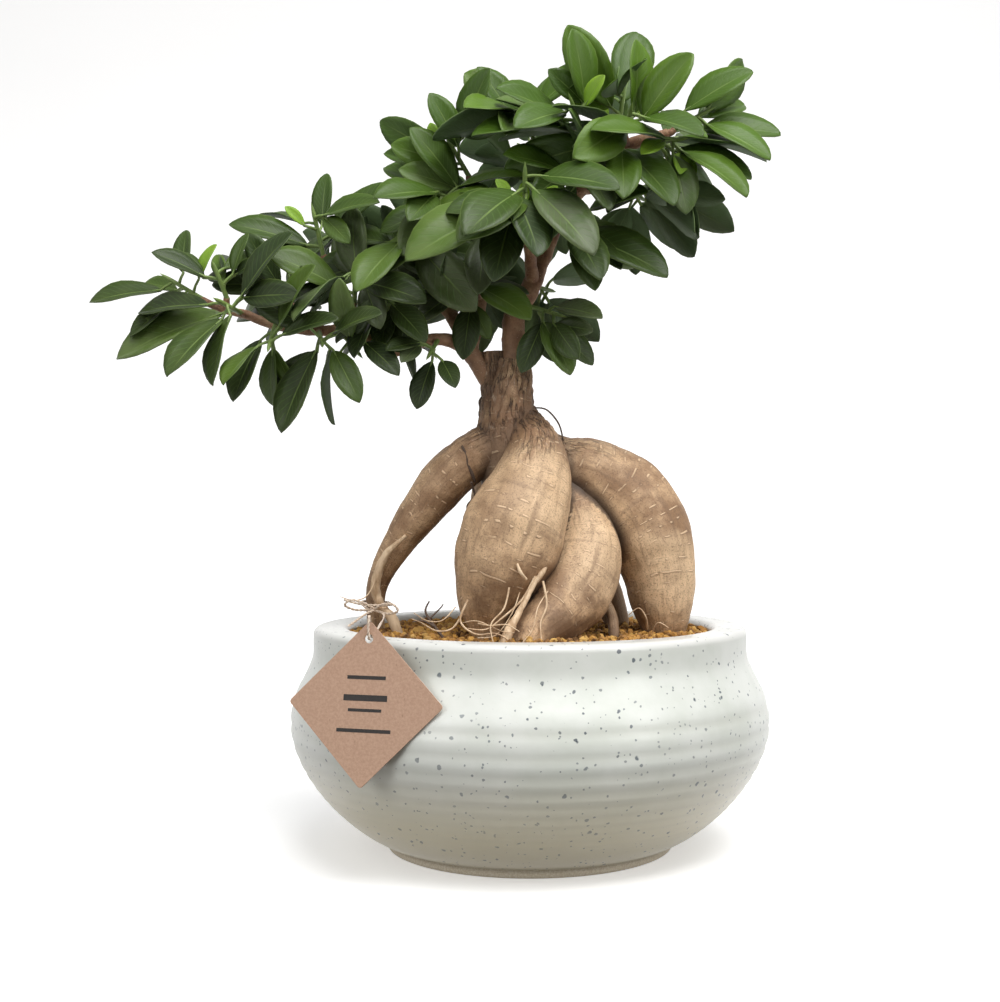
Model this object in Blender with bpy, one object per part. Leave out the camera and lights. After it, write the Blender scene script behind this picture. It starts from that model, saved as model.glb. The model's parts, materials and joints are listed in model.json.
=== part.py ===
"""A grafted ginseng fig, grown as a bonsai in a glazed stoneware bowl, with a card tag tied to one root.

The woody rootstock (tuberous roots and trunk) carries two grafted stems. Green shoots grow on the stems' twigs,
and each shoot is one solid: its stem with the leaves that it bears. Metres, +Z up.
"""

import math

import bmesh
import bpy
from mathutils import Matrix, Vector
from mathutils.bvhtree import BVHTree

MM = 0.001
GAP = 0.4 * MM  # what touching pieces keep between them

# The bowl.
BELLY_RADIUS = 98.6 * MM
BELLY_HEIGHT = 51 * MM
RIM_RADIUS = 89.3 * MM
RIM_HEIGHT = 91 * MM
RIM_BAND = 9 * MM  # the upright band below the rim's top
RIM_ROUND = 3 * MM
MOUTH_RADIUS = 75 * MM
FOOT_RADIUS = 59 * MM
FOOT_HEIGHT = 3.5 * MM
FOOT_RECESS = 2.5 * MM
FOOT_RING = 8 * MM
WALL = 7 * MM
FLOOR = 7 * MM
DRAIN_RADIUS = 9 * MM
BOWL_SIDES = 36  # the soil has as many, so that its facets lie along the bowl's
INNER_CORNER = 4 * MM  # how far the cavity's floor stops short of its wall
SHARP_EDGE = math.radians(50)

# What fills it.
SOIL_BELOW_RIM = 4 * MM
SOIL_LUMPS = 1.2 * MM
MESH_SIDE = 30 * MM
MESH_THICK = 1.2 * MM
MESH_CELLS = 3
MESH_BAR = 1.6 * MM

# The tree, above the soil.
TREE_HEIGHT = 254 * MM
DRAWN_HEIGHT = 254  # the height and the mouth that the points below are drawn for
DRAWN_MOUTH = 75
ROOT_DEPTH = 12  # how far a drawn root's foot goes below the soil
ROOT_SIDES = 14
ROOT_VOXEL = 1.8 * MM
ROOT_KEEP = 0.10  # the share of its triangles that a blended solid keeps
STEM_SIDES = 8
STEM_VOXEL = 0.8 * MM
STEM_KEEP = 0.03
AERIAL_SIDES = 6
TWIG_RADIUS = 1.5 * MM
WOOD_SMOOTHING = 3

# Leaves and shoots.
LEAF_THICK = 0.9 * MM
LEAF_WIDTH_SHARE = 0.26  # half the blade's width, as a share of its length
LEAF_SIZE = 0.97
LEAF_SAG = 0.16
PETIOLE = 5 * MM
PETIOLE_HALF = 0.55 * MM
SHOOT_RADIUS = 1.2 * MM
SHOOT_BASE = 3 * MM
INTERNODE = 2.4 * MM
BUD = 5 * MM
LEAF_CLEARANCE = 0.6 * MM
LEAF_TRIES = 900
TURN_BETWEEN_TRIES = 137.5  # degrees
SWING_PER_TRY = 3.2  # degrees, times the square root of the try's number
SMALL = 0.05

# The tag and its twine.
TAG_SIDE = 42.5 * MM
TAG_THICK = 0.6 * MM
TAG_HOLE_RADIUS = 1.7 * MM
TAG_HOLE_INSET = 6.5 * MM
TAG_TURN = math.radians(-17)
TAG_LEAN = math.radians(9)
TAG_HOLE_X = -51.42 * MM  # where the tag's hole hangs before the card is moved out to clear the bowl
TAG_HOLE_Y = -56.48 * MM
TAG_HOLE_BELOW_RIM = 2.24 * MM
HOLE_SIDES = 14
TWINE_RADIUS = 0.55 * MM

SOIL_HEIGHT = RIM_HEIGHT - SOIL_BELOW_RIM
ACROSS = MOUTH_RADIUS / (DRAWN_MOUTH * MM)
UPWARD = TREE_HEIGHT / (DRAWN_HEIGHT * MM)

# Drawn points are (x, y, z, radius) in millimetres from the bowl's axis and the soil, -y towards the front.
TRUNK = [(-8, 2, 58, 13), (-9, 1, 76, 14), (-9.5, 1, 87, 13), (-10, 0, 97, 12), (-9.5, 0, 108, 10.5),
         (-9, 0, 112, 10)]
STUB = [(-13, 0, 98, 7), (-15.5, 0, 110, 5.6), (-16, 0, 118, 5.2)]
ROOTS = {
    "left": [(-9, 0, 79, 11), (-22, -1, 74.5, 10.6), (-34, -2, 65, 10.6), (-45.5, -1, 51, 8.9), (-56, 1, 36, 6.4),
             (-63.5, 3, 22, 4.6), (-65, 5, 10, 3.9), (-63.5, 5, -ROOT_DEPTH, 3)],
    "front": [(-4, -4, 84, 12), (0, -13, 70, 15.5), (-3, -20, 57, 18.5), (-8, -24, 43, 20.5), (-12, -25, 29, 19),
              (-17, -24, 14, 12.5), (-16, -24, 2, 7.5), (-13, -25, -ROOT_DEPTH, 4)],
    "crossing": [(2, 0, 74, 12), (12, 2, 62, 12), (20, -3, 48, 13.5), (22.5, -11, 34, 15.5), (19, -19, 21, 15.5),
                 (10, -28, 10, 13), (1, -36, 2, 9), (-6, -42, -ROOT_DEPTH, 4)],
    "right": [(-2, 2, 78, 12), (12, 4, 70, 13), (27, 5, 64.5, 17), (40.5, 5, 55, 19), (49, 4, 41, 18),
              (53.5, 3, 27, 15.5), (55, 2, 13, 13), (56, 2, 2, 9), (57, 2, -ROOT_DEPTH, 5)],
    "rear": [(-6, 8, 78, 11), (0, 20, 66, 12), (10, 30, 50, 12), (22, 36, 32, 11), (32, 36, 16, 8.5),
             (38, 34, 3, 5.5), (40, 33, -ROOT_DEPTH, 3.5)],
    "rear_left": [(-10, 8, 76, 9), (-15, 20, 66, 9), (-18, 33, 50, 8.5), (-19, 43, 30, 7), (-18, 48, 12, 5),
                  (-16, 49, -ROOT_DEPTH, 3)],
}
AERIAL_ROOTS = {
    "aerial_root_left": [(-52, -9.5, 40, 1.0), (-60, -7.5, 32, 1.9), (-64, -4.5, 21, 2.1), (-62, -3.2, 12, 1.9),
                         (-57, -4, 6, 1.7), (-52, -5, -6, 1.2)],
    "aerial_root_front": [(4, -38, 27, 1.1), (0, -40, 20, 2.0), (-5, -43, 11, 2.3), (-9, -47, 3, 2.4),
                          (-12, -50, -8, 1.6)],
}
LEFT_STEM = {
    "long": [(-13, 0, 100, 4.2), (-20, -1, 110, 4), (-27, -3, 119, 3.5), (-36, -6, 122, 2.7), (-46, -8, 120.5, 2.5),
             (-56, -9, 117, 2.5), (-65, -9, 121, 2.5), (-73, -8, 127, 2.4), (-83, -7, 125.5, 2.3),
             (-95, -8, 126, 2.1), (-107, -9, 128, 1.9), (-117, -9, 132, 1.8), (-126, -8, 134, 1.6),
             (-135, -8, 138, 1.5)],
    "rising": [(-27, -3, 119, 3.4), (-31, 2, 130, 3), (-38, 6, 140, 2.6), (-44, 6, 149, 2.2), (-49, 4, 156, 1.7)],
    "upright": [(-25, -1, 117, 3.4), (-22, 6, 134, 3), (-20, 9, 150, 2.7), (-22, 8, 164, 2.4), (-24, 5, 176, 2),
                (-25, 3, 187, 1.6)],
    "top_left": [(-73, -8, 127, 2.2), (-79, -2, 140, 1.9), (-84, 2, 154, 1.6)],
}
RIGHT_STEM = {
    "main": [(-7, 0, 104, 6), (-6, 0, 114, 5.6), (-7, 0, 124, 4.9), (-6, 0, 134, 4.5), (0, 1, 144, 4.2),
             (4, 3, 154, 3.6), (9, 4, 167, 3.5), (16, 4, 181, 3.6), (25, 2, 190, 3.5), (32, 0, 199, 3.2),
             (43, -2, 204, 2.6), (51, -3, 206, 2.2), (57, -3, 208, 1.8)],
    "forward": [(1, 1, 146, 3), (0, -9, 156, 2.4), (-2, -19, 164, 1.8)],
    "crest": [(27, 1, 193, 2.8), (32, 4, 200, 2.3), (35, 5, 206, 1.8)],
    "left_crest": [(13, 4, 175, 2.8), (8, 6, 186, 2.4), (3, 5, 195, 2), (0, 3, 202, 1.6)],
    "outer": [(20, 3, 186, 2.6), (31, 10, 188, 2.2), (42, 12, 189, 1.8)],
    "back": [(5, 3, 157, 2.8), (6, 16, 168, 2.4), (8, 28, 180, 1.9)],
}

# A shoot is (where its stem starts, which way it points, its leaves), in millimetres as above. A leaf is
# (clock, toward, length): clock is its direction in the front view, from +X round by +Z, toward is how far it
# leans to the front, both in degrees, and length is in millimetres.
SHOOTS = {
    "left_end": [(-134, -8, 138), (-1, 0, 0.6),
                 [(68, 12, 27), (215, 25, 26), (160, -20, 18), (95, -15, 20), (184, 10, 30)]],
    "left_second": [(-124, -11, 138), (-0.3, -0.6, 1), [(112, -25, 17), (75, 5, 18), (150, 25, 24), (30, -30, 26)]],
    "left_third": [(-118, -13, 132), (-0.4, -1, 0.2),
                   [(197, 12, 45), (55, 20, 35), (228, 40, 34), (243, 15, 30), (190, -25, 34)]],
    "left_under": [(-104, -13, 127), (0, -0.8, -0.6),
                   [(245, 25, 30), (262, -10, 24), (62, 30, 30), (225, 55, 28), (20, 25, 26)]],
    "left_hanging": [(-86, -13, 124), (0.2, -0.9, -0.4),
                     [(245, 20, 36), (239, -10, 32), (150, 35, 28), (300, 30, 26), (25, 40, 28)]],
    "left_small": [(-76, -12, 123), (0.5, -0.5, -0.6), [(256, 15, 14), (320, 35, 24), (100, 40, 26)]],
    "left_crown": [(-86, 0, 157), (-0.2, -0.3, 1),
                   [(160, 10, 32), (45, 15, 33), (88, 0, 22), (132, 20, 18), (176, -25, 24), (15, 30, 28)]],
    "left_crown_back": [(-80, 10, 150), (-0.1, 0.9, 0.8),
                        [(70, -30, 28), (120, -45, 30), (30, -50, 30), (170, -50, 32)]],
    "left_shoulder": [(-72, -10, 136), (0.1, -0.6, 1),
                      [(150, 25, 30), (92, 5, 27), (38, 12, 31), (345, 30, 27), (200, 40, 30)]],
    "left_middle": [(-98, -3, 137), (-0.2, 0.2, 1),
                    [(118, 10, 27), (60, -20, 30), (165, 30, 27), (200, -30, 30), (10, -35, 28)]],
    "left_behind": [(-108, 4, 134), (-0.3, 1, 0.5),
                    [(150, -45, 30), (95, -40, 26), (205, -40, 32), (30, -55, 30)]],
    "inner_low": [(-60, 2, 128), (-0.2, 0.9, 0.4),
                  [(200, -40, 26), (90, -35, 30), (150, -50, 26), (340, -40, 26)]],
    "rosette_front": [(-50, 0, 155), (-0.1, -0.9, 0.6),
                      [(178, 22, 34), (64, 5, 28), (42, 15, 32), (165, -20, 26), (285, 35, 36), (232, 45, 30)]],
    "rosette_back": [(-47, 10, 154), (-0.3, 0.8, 0.7),
                     [(130, -15, 28), (175, -45, 30), (80, -40, 30), (20, -50, 32)]],
    "inner_fan": [(-54, -4, 140), (-0.5, -0.8, -0.1),
                  [(200, 20, 24), (262, 25, 20), (275, 5, 18), (315, 35, 22), (235, 50, 22)]],
    "under_fork": [(-38, -10, 121), (-0.2, -0.7, -0.5), [(250, 12, 20), (190, 40, 16), (300, 45, 15)]],
    "neck_front": [(-22, 2, 142), (-0.3, -0.9, 0.3),
                   [(262, 20, 22), (215, 35, 24), (160, 40, 28), (330, 35, 26)]],
    "neck_back": [(-20, 13, 148), (-0.3, 1, 0.3), [(200, -40, 30), (265, -35, 24), (95, -50, 28), (340, -45, 30)]],
    "shelf_left": [(-24, 1, 177), (-0.8, -0.5, 0.3),
                   [(197, 15, 31), (125, 18, 28), (150, -12, 29), (10, 30, 26), (235, 35, 28), (187, 45, 28)]],
    "shelf_mid": [(-20, 1, 168), (-0.2, -1, 0.1), [(205, 35, 32), (165, 25, 30), (265, 35, 28), (350, 40, 28)]],
    "shelf_back": [(-22, 14, 172), (-0.5, 1, 0.3), [(170, -40, 34), (120, -45, 30), (215, -45, 32), (60, -50, 30)]],
    "spur_left": [(-25, 1, 190), (-0.6, -0.2, 1),
                  [(160, 5, 28), (163, 35, 22), (115, 15, 24), (200, 25, 26), (70, 30, 28)]],
    "heart": [(-2, -21, 166), (0, -0.7, 1),
              [(95, 5, 15), (48, 15, 17), (162, 25, 16), (207, 20, 44), (213, 42, 36), (232, 30, 38), (314, 32, 36),
               (352, 30, 32)]],
    "heart_right": [(10, -8, 168), (0.8, -0.8, 0.2),
                    [(338, 22, 38), (325, 0, 30), (300, 45, 30), (20, 35, 26)]],
    "low_right": [(-1, -5, 136), (0.9, -0.3, -0.3), [(325, 10, 25), (300, 25, 24), (350, 35, 22), (275, 10, 20)]],
    "low_right_back": [(2, 9, 146), (0.6, 1, 0), [(330, -35, 30), (290, -30, 28), (20, -45, 28), (255, -45, 28)]],
    "back_low": [(8, 31, 182), (0.1, 1, 0.5), [(60, -50, 32), (120, -50, 32), (200, -55, 32), (340, -50, 32),
                                              (270, -45, 30)]],
    "back_left_low": [(-8, 24, 170), (-0.7, 1, 0.1),
                      [(190, -45, 32), (250, -40, 32), (140, -55, 30), (300, -60, 28)]],
    "crest_left": [(2, 2, 205), (-0.4, -0.5, 1),
                   [(120, 12, 28), (156, 15, 32), (172, -10, 36), (40, 25, 26), (195, 40, 28)]],
    "crest_left_back": [(1, 10, 201), (-0.5, 1, 0.7),
                        [(100, -40, 30), (150, -45, 32), (200, -50, 30), (50, -50, 30)]],
    "crest_mid": [(23, -4, 205), (-0.4, -0.8, 0.8),
                  [(144, 15, 30), (171, 20, 42), (157, 40, 32), (105, 20, 26), (60, 35, 24), (205, 50, 28)]],
    "crest_top": [(37, 4, 208), (0.1, -0.3, 1),
                  [(116, 18, 24), (43, 20, 26), (145, 5, 34), (78, -12, 34), (88, -38, 32), (165, 35, 26)]],
    "crest_front": [(39, -7, 205), (0.1, -0.9, 0.5), [(152, 20, 30), (102, 15, 26), (55, 25, 30), (205, 35, 32),
                                                     (340, 40, 28)]],
    "branch_front": [(22, -7, 188), (-0.3, -1, 0.3), [(232, 15, 30), (165, 35, 26), (110, 30, 22), (300, 40, 22)]],
    "crest_back": [(34, 13, 205), (0.2, 1, 0.7), [(80, -45, 32), (140, -45, 32), (20, -50, 32), (200, -55, 30)]],
    "fore_right": [(32, -7, 203), (0.1, -1, -0.1),
                   [(221, 25, 34), (312, 35, 34), (172, 40, 30), (255, 50, 28)]],
    "far_right": [(59, -3, 209), (0.8, -0.2, 0.4),
                  [(34, 15, 28), (4, 5, 33), (29, -25, 26), (334, 18, 30), (75, 20, 26)]],
    "right_shelf": [(51, -6, 203), (0.6, -0.8, -0.1),
                    [(344, 15, 32), (342, -10, 38), (323, 25, 32), (276, 30, 26), (165, 30, 32)]],
    "right_back": [(52, 6, 205), (0.6, 1, 0.2), [(10, -40, 32), (335, -30, 32), (60, -50, 30), (300, -45, 28)]],
    "outer_low": [(44, 9, 189), (0.8, -0.4, -0.3),
                  [(313, 15, 32), (320, 40, 32), (340, -15, 30), (275, 15, 28), (235, 35, 28)]],
    "outer_back": [(42, 18, 190), (0.6, 1, -0.2), [(330, -40, 32), (280, -35, 30), (20, -50, 30), (230, -45, 30)]],
}
LEAF_NORMAL_UP = 0.8  # how far a blade turns its face to the sky rather than out of the crown
CROWN_AXIS_X = -20
CROWN_BACK_Y = 8.5
CROWN_HALF_WIDTH = 120 * MM

# The twine's end and the loop that it makes round the left root, in millimetres from the bowl's axis and the soil.
TWINE_LOOP = [
    (-77, -4.5, 14.5), (-73, -6, 13.4), (-68.5, -6.9, 12.6), (-64.5, -7, 12.3), (-60, -6.4, 12.2),
    (-57.6, -2.5, 12.2), (-58.6, 3, 12.4), (-60.6, 8.6, 12.6), (-65, 10.6, 12.8), (-69.3, 8.6, 13), (-70.8, 4, 12.8),
    (-69.5, -1.5, 12), (-66.5, -6.4, 10.6), (-62.5, -8.4, 10), (-59.5, -13, 8.6),
]
TWINE_OVER_RIM = ((0.3, 1.2 * MM), (0.62, 0), (0.85, 0))  # (share of the way from knot to hole, lift)


def clear_scene():
    for obj in list(bpy.data.objects):
        bpy.data.objects.remove(obj)


def material(name, colour, roughness):
    made = bpy.data.materials.new(name)
    made.use_nodes = True
    shader = made.node_tree.nodes["Principled BSDF"]
    shader.inputs["Base Color"].default_value = (*colour, 1)
    shader.inputs["Roughness"].default_value = roughness
    return made


def add_object(name, mesh, finish=None, helper=False):
    obj = bpy.data.objects.new(name, mesh)
    bpy.context.scene.collection.objects.link(obj)
    if finish:
        mesh.materials.append(finish)
    if helper:
        obj.hide_render = True
        obj.display_type = "WIRE"
    return obj


def mesh_from(name, points, faces):
    mesh = bpy.data.meshes.new(name)
    mesh.from_pydata(points, [], faces)
    mesh.update()
    return mesh


def fixed(obj):
    """The object with its modifiers made part of its mesh."""
    bpy.context.view_layer.update()
    evaluated = obj.evaluated_get(bpy.context.evaluated_depsgraph_get())
    mesh = bpy.data.meshes.new_from_object(evaluated)
    obj.modifiers.clear()
    obj.data = mesh
    return obj


def surface_tree(obj):
    return BVHTree.FromPolygons([obj.matrix_world @ v.co for v in obj.data.vertices],
                                [tuple(p.vertices) for p in obj.data.polygons])


def cut(obj, cutter):
    modifier = obj.modifiers.new("cut", "BOOLEAN")
    modifier.operation = "DIFFERENCE"
    modifier.object = cutter
    return fixed(obj)


def swollen(obj, by):
    """A hidden copy of a solid, grown outwards, for cutting what fits round it."""
    helper = add_object(obj.name + "_clearance", obj.data.copy(), helper=True)
    modifier = helper.modifiers.new("grow", "DISPLACE")
    modifier.strength = by
    modifier.mid_level = 0
    return fixed(helper)


# ---- Turned shapes ----

def lower_wall(z):
    """The bowl's outer radius between its foot and its belly."""
    down = min(max((BELLY_HEIGHT - z) / (BELLY_HEIGHT - FOOT_HEIGHT), 0), 1)
    return FOOT_RADIUS + (BELLY_RADIUS - FOOT_RADIUS) * (1 - down ** 1.7) ** 0.75


def upper_wall(z):
    """The bowl's outer radius between its belly and its rim band."""
    up = min(max((z - BELLY_HEIGHT) / (RIM_HEIGHT - RIM_BAND - BELLY_HEIGHT), 0), 1)
    return RIM_RADIUS + (BELLY_RADIUS - RIM_RADIUS) * (1 + math.cos(math.pi * up ** 1.3)) / 2


def steps(first, last, count):
    return [first + (last - first) * i / (count - 1) for i in range(count)]


def arc(centre, radius, first, last, count):
    """Points on an arc in the (radius, height) plane, angles in degrees from +r."""
    return [(centre[0] + radius * math.cos(math.radians(a)), centre[1] + radius * math.sin(math.radians(a)))
            for a in steps(first, last, count)]


def inner_wall(thickness):
    """The cavity's profile from its floor up to the underside of the lip, that far inside the outer wall."""
    floor = FOOT_RECESS + FLOOR + (thickness - WALL)
    low = [(lower_wall(z) - thickness, z) for z in steps(floor + 3 * MM, BELLY_HEIGHT, 4)]
    corner = (low[0][0] - INNER_CORNER, floor)
    high = [(upper_wall(z) - thickness, z) for z in steps(BELLY_HEIGHT, RIM_HEIGHT - RIM_BAND, 4)[1:]]
    return [corner] + low + high


def bowl_profile():
    """The bowl's section as a closed loop of (radius, height), from the drain hole outwards and up."""
    foot = [(DRAIN_RADIUS, FOOT_RECESS), (FOOT_RADIUS - FOOT_RING, FOOT_RECESS), (FOOT_RADIUS - FOOT_RING, 0),
            (FOOT_RADIUS, 0)]
    outside = [(lower_wall(z), z) for z in steps(FOOT_HEIGHT, BELLY_HEIGHT, 7)]
    shoulder = [(upper_wall(z), z) for z in steps(BELLY_HEIGHT, RIM_HEIGHT - RIM_BAND, 5)[1:]]
    top = RIM_HEIGHT - RIM_ROUND
    lip = arc((RIM_RADIUS - RIM_ROUND, top), RIM_ROUND, 0, 90, 3)
    lip += arc((MOUTH_RADIUS + RIM_ROUND, top), RIM_ROUND, 90, 180, 3)
    lip.append((MOUTH_RADIUS + 0.5 * MM, RIM_HEIGHT - RIM_BAND + 2 * MM))
    inside = inner_wall(WALL)[::-1]
    return foot + outside + shoulder + lip + inside + [(DRAIN_RADIUS, FOOT_RECESS + FLOOR)]


def turned(name, profile, sides, closed):
    """A mesh turned about Z from (radius, height) points. A profile that isn't closed starts and ends on the axis."""
    points, faces, rows = [], [], []
    for radius, height in profile:
        if radius == 0:
            rows.append([len(points)] * sides)
            points.append((0, 0, height))
            continue
        rows.append(list(range(len(points), len(points) + sides)))
        points += [(radius * math.cos(2 * math.pi * i / sides), radius * math.sin(2 * math.pi * i / sides), height)
                   for i in range(sides)]
    pairs = list(zip(rows, rows[1:] + rows[:1])) if closed else list(zip(rows, rows[1:]))
    for low, high in pairs:
        for i in range(sides):
            j = (i + 1) % sides
            corners = [low[i], low[j], high[j], high[i]]
            faces.append([c for k, c in enumerate(corners) if c != corners[k - 1]])
    return mesh_from(name, points, faces)


def make_bowl(finish):
    obj = add_object("bowl", turned("bowl", bowl_profile(), BOWL_SIDES, closed=True), finish)
    obj.data.shade_smooth()
    obj.data.set_sharp_from_angle(angle=SHARP_EDGE)
    return obj


def make_drain_mesh(finish):
    bm = bmesh.new()
    bmesh.ops.create_grid(bm, x_segments=MESH_CELLS, y_segments=MESH_CELLS, size=MESH_SIDE / 2)
    cells = list(bm.faces)
    bmesh.ops.inset_individual(bm, faces=cells, thickness=MESH_BAR / 2)
    bmesh.ops.delete(bm, geom=cells, context="FACES")
    bmesh.ops.solidify(bm, geom=list(bm.faces), thickness=MESH_THICK)
    bmesh.ops.recalc_face_normals(bm, faces=bm.faces)
    low = min(v.co.z for v in bm.verts)
    bmesh.ops.translate(bm, verts=bm.verts, vec=(0, 0, FOOT_RECESS + FLOOR + GAP - low))
    mesh = bpy.data.meshes.new("drain_mesh")
    bm.to_mesh(mesh)
    bm.free()
    return add_object("drain_mesh", mesh, finish)


def lump(x, y):
    """A gentle unevenness of the soil, from -1 to 1."""
    return (math.sin(210 * x + 1) * math.cos(170 * y + 2) + math.sin(390 * y - 150 * x)) / 2


def make_soil(finish, roots):
    """The potting mix: it fills the bowl up to its lip, round the roots and over the drain mesh."""
    wall = inner_wall(WALL + GAP)
    edge = MOUTH_RADIUS - GAP
    neck = (edge, RIM_HEIGHT - RIM_BAND + 1 * MM)
    rings = [(share * edge, SOIL_HEIGHT) for share in (1, 0.82, 0.6, 0.36, 0.14)]
    profile = [(0, wall[0][1]), *wall, neck, *rings, (0, SOIL_HEIGHT)]
    mesh = turned("potting_soil", profile, BOWL_SIDES, closed=False)
    for v in mesh.vertices:
        if v.co.z > SOIL_HEIGHT - GAP and Vector(v.co.xy).length < edge - 1 * MM:
            v.co.z += SOIL_LUMPS * lump(v.co.x, v.co.y)
    soil = add_object("potting_soil", mesh, finish)
    bm = bmesh.new()
    bmesh.ops.create_cube(bm, size=1)
    pocket = bpy.data.meshes.new("pocket")
    side = MESH_SIDE + 4 * GAP
    bmesh.ops.scale(bm, verts=bm.verts, vec=(side, side, 2 * (MESH_THICK + 2 * GAP)))
    bmesh.ops.translate(bm, verts=bm.verts, vec=(0, 0, FOOT_RECESS + FLOOR + GAP))
    bm.to_mesh(pocket)
    bm.free()
    cut(soil, add_object("mesh_pocket", pocket, helper=True))
    for root in roots:
        cut(soil, swollen(root, GAP))
    soil.data.shade_smooth()
    return soil


# ---- Wood ----

def grown(point):
    """A drawn (x, y, z) in metres, with the tree as wide as the bowl's mouth and as high as TREE_HEIGHT."""
    x, y, z = point[:3]
    return Vector((x * MM * ACROSS, y * MM * ACROSS, SOIL_HEIGHT + z * MM * UPWARD))


def smooth_path(points, per_span=4):
    """(place, radius) along a Catmull-Rom curve through drawn (x, y, z, radius) points."""
    ends = [points[0], *points, points[-1]]
    made = []
    for a, b, c, d in zip(ends, ends[1:], ends[2:], ends[3:]):
        for i in range(per_span):
            t = i / per_span
            made.append([0.5 * (2 * q + (r - p) * t + (2 * p - 5 * q + 4 * r - s) * t * t
                                + (3 * q - p - 3 * r + s) * t ** 3) for p, q, r, s in zip(a, b, c, d)])
    made.append(points[-1])
    return [(grown(p), p[3] * MM * ACROSS) for p in made]


def tube(path, sides):
    """(points, faces) of a closed tube along (place, radius) pairs."""
    points, faces = [], []
    side = Vector((1, 0.31, 0.17))
    for i, (place, radius) in enumerate(path):
        before, after = path[max(i - 1, 0)][0], path[min(i + 1, len(path) - 1)][0]
        along = (after - before).normalized()
        side = (side - along * side.dot(along)).normalized()
        other = along.cross(side)
        for k in range(sides):
            angle = 2 * math.pi * k / sides
            points.append(place + radius * (math.cos(angle) * side + math.sin(angle) * other))
    for i in range(len(path) - 1):
        for k in range(sides):
            a, b = i * sides + k, i * sides + (k + 1) % sides
            faces.append((a, b, b + sides, a + sides))
    faces.append(tuple(reversed(range(sides))))
    faces.append(tuple(range(len(points) - sides, len(points))))
    return points, faces


def wooden(name, paths, sides, voxel, keep, finish):
    """One solid from tubes that run into each other: joined, blended at voxel size and thinned to a share."""
    points, faces = [], []
    for path in paths:
        more_points, more_faces = tube(path, sides)
        faces += [tuple(i + len(points) for i in face) for face in more_faces]
        points += more_points
    obj = add_object(name, mesh_from(name, points, faces), finish)
    remesh = obj.modifiers.new("blend", "REMESH")
    remesh.mode = "VOXEL"
    remesh.voxel_size = voxel
    smooth = obj.modifiers.new("smooth", "SMOOTH")
    smooth.iterations = WOOD_SMOOTHING
    thin = obj.modifiers.new("thin", "DECIMATE")
    thin.ratio = keep
    fixed(obj)
    obj.data.shade_smooth()
    return obj


def nearest_on(paths, place):
    """The (place, radius) on any of the paths that is nearest to a place."""
    return min((step for path in paths for step in path), key=lambda step: (step[0] - place).length)


def twig(paths, base):
    """A short woody twig from the nearest branch to where a shoot starts."""
    foot, radius = nearest_on(paths, base)
    tip = base + (foot - base).normalized() * GAP
    thin = min(radius, TWIG_RADIUS * ACROSS)
    return [(foot, thin), (foot.lerp(tip, 0.5) + Vector((0, 0, -0.6 * MM)), thin), (tip, thin * 0.9)]


def make_stems(finish, rootstock):
    """The two grafted stems, each with the twigs that carry its shoots."""
    drawn = {"stem_left": LEFT_STEM, "stem_right": RIGHT_STEM}
    paths = {name: [smooth_path(p) for p in stem.values()] for name, stem in drawn.items()}
    twigs = {name: [] for name in drawn}
    for base, _, _ in SHOOTS.values():
        place = grown(base)
        owner = min(paths, key=lambda name: (nearest_on(paths[name], place)[0] - place).length)
        twigs[owner].append(twig(paths[owner], place))
    graft = swollen(rootstock, GAP)
    return [cut(wooden(name, paths[name] + twigs[name], STEM_SIDES, STEM_VOXEL, STEM_KEEP, finish), graft)
            for name in drawn]


# ---- Shoots and leaves ----

def leaf_frame(clock, toward, outward, roll):
    """A leaf's (direction, face normal, side) from its two angles and a roll, in degrees."""
    c, t = math.radians(clock), math.radians(toward)
    along = Vector((math.cos(c) * math.cos(t), -math.sin(t), math.sin(c) * math.cos(t)))
    wanted = Vector((0, 0, LEAF_NORMAL_UP)) + outward
    normal = wanted - along * wanted.dot(along)
    if normal.length < SMALL:
        normal = along.orthogonal()
    normal = Matrix.Rotation(math.radians(roll), 3, along) @ normal.normalized()
    return along, normal, along.cross(normal)


LEAF_STATIONS = ((0.2, 0.66), (0.48, 1.0), (0.8, 0.68))  # (how far along the blade, its share of the width)


def leaf_rings(root, out, frame, length, thick):
    """Rings of 3 points (left edge, right edge, midrib below) from the petiole's end to the blade's tip."""
    along, normal, side = frame
    start = root + (out + along).normalized() * PETIOLE
    half = LEAF_WIDTH_SHARE * length
    rings = [[start - side * PETIOLE_HALF, start + side * PETIOLE_HALF, start - normal * PETIOLE_HALF]]
    for t, share in LEAF_STATIONS:
        middle = start + along * length * t - normal * LEAF_SAG * length * t * t
        rings.append([middle - side * half * share, middle + side * half * share, middle - normal * thick])
    tip = start + along * length - normal * LEAF_SAG * length
    return rings, tip


def ring_faces(first, second):
    return [(first[k], first[(k + 1) % 3], second[(k + 1) % 3], second[k]) for k in range(3)]


def blade_tree(rings, tip, above, petiole=None):
    """A search tree of a blade with a little air above and below, and of its petiole, for seeing what they touch."""
    rings = [[left + above, right + above, below - above] for left, right, below in rings]
    if petiole:
        rings.insert(0, [p - petiole * 0.9 for p in rings[0]])
    points = [p for ring in rings for p in ring] + [tip]
    rows = [range(3 * i, 3 * i + 3) for i in range(len(rings))]
    faces = [face for low, high in zip(rows, rows[1:]) for face in ring_faces(low, high)]
    last = 3 * (len(rings) - 1)
    faces += [(last + k, last + (k + 1) % 3, len(points) - 1) for k in range(3)]
    return BVHTree.FromPolygons(points, faces)


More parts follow.
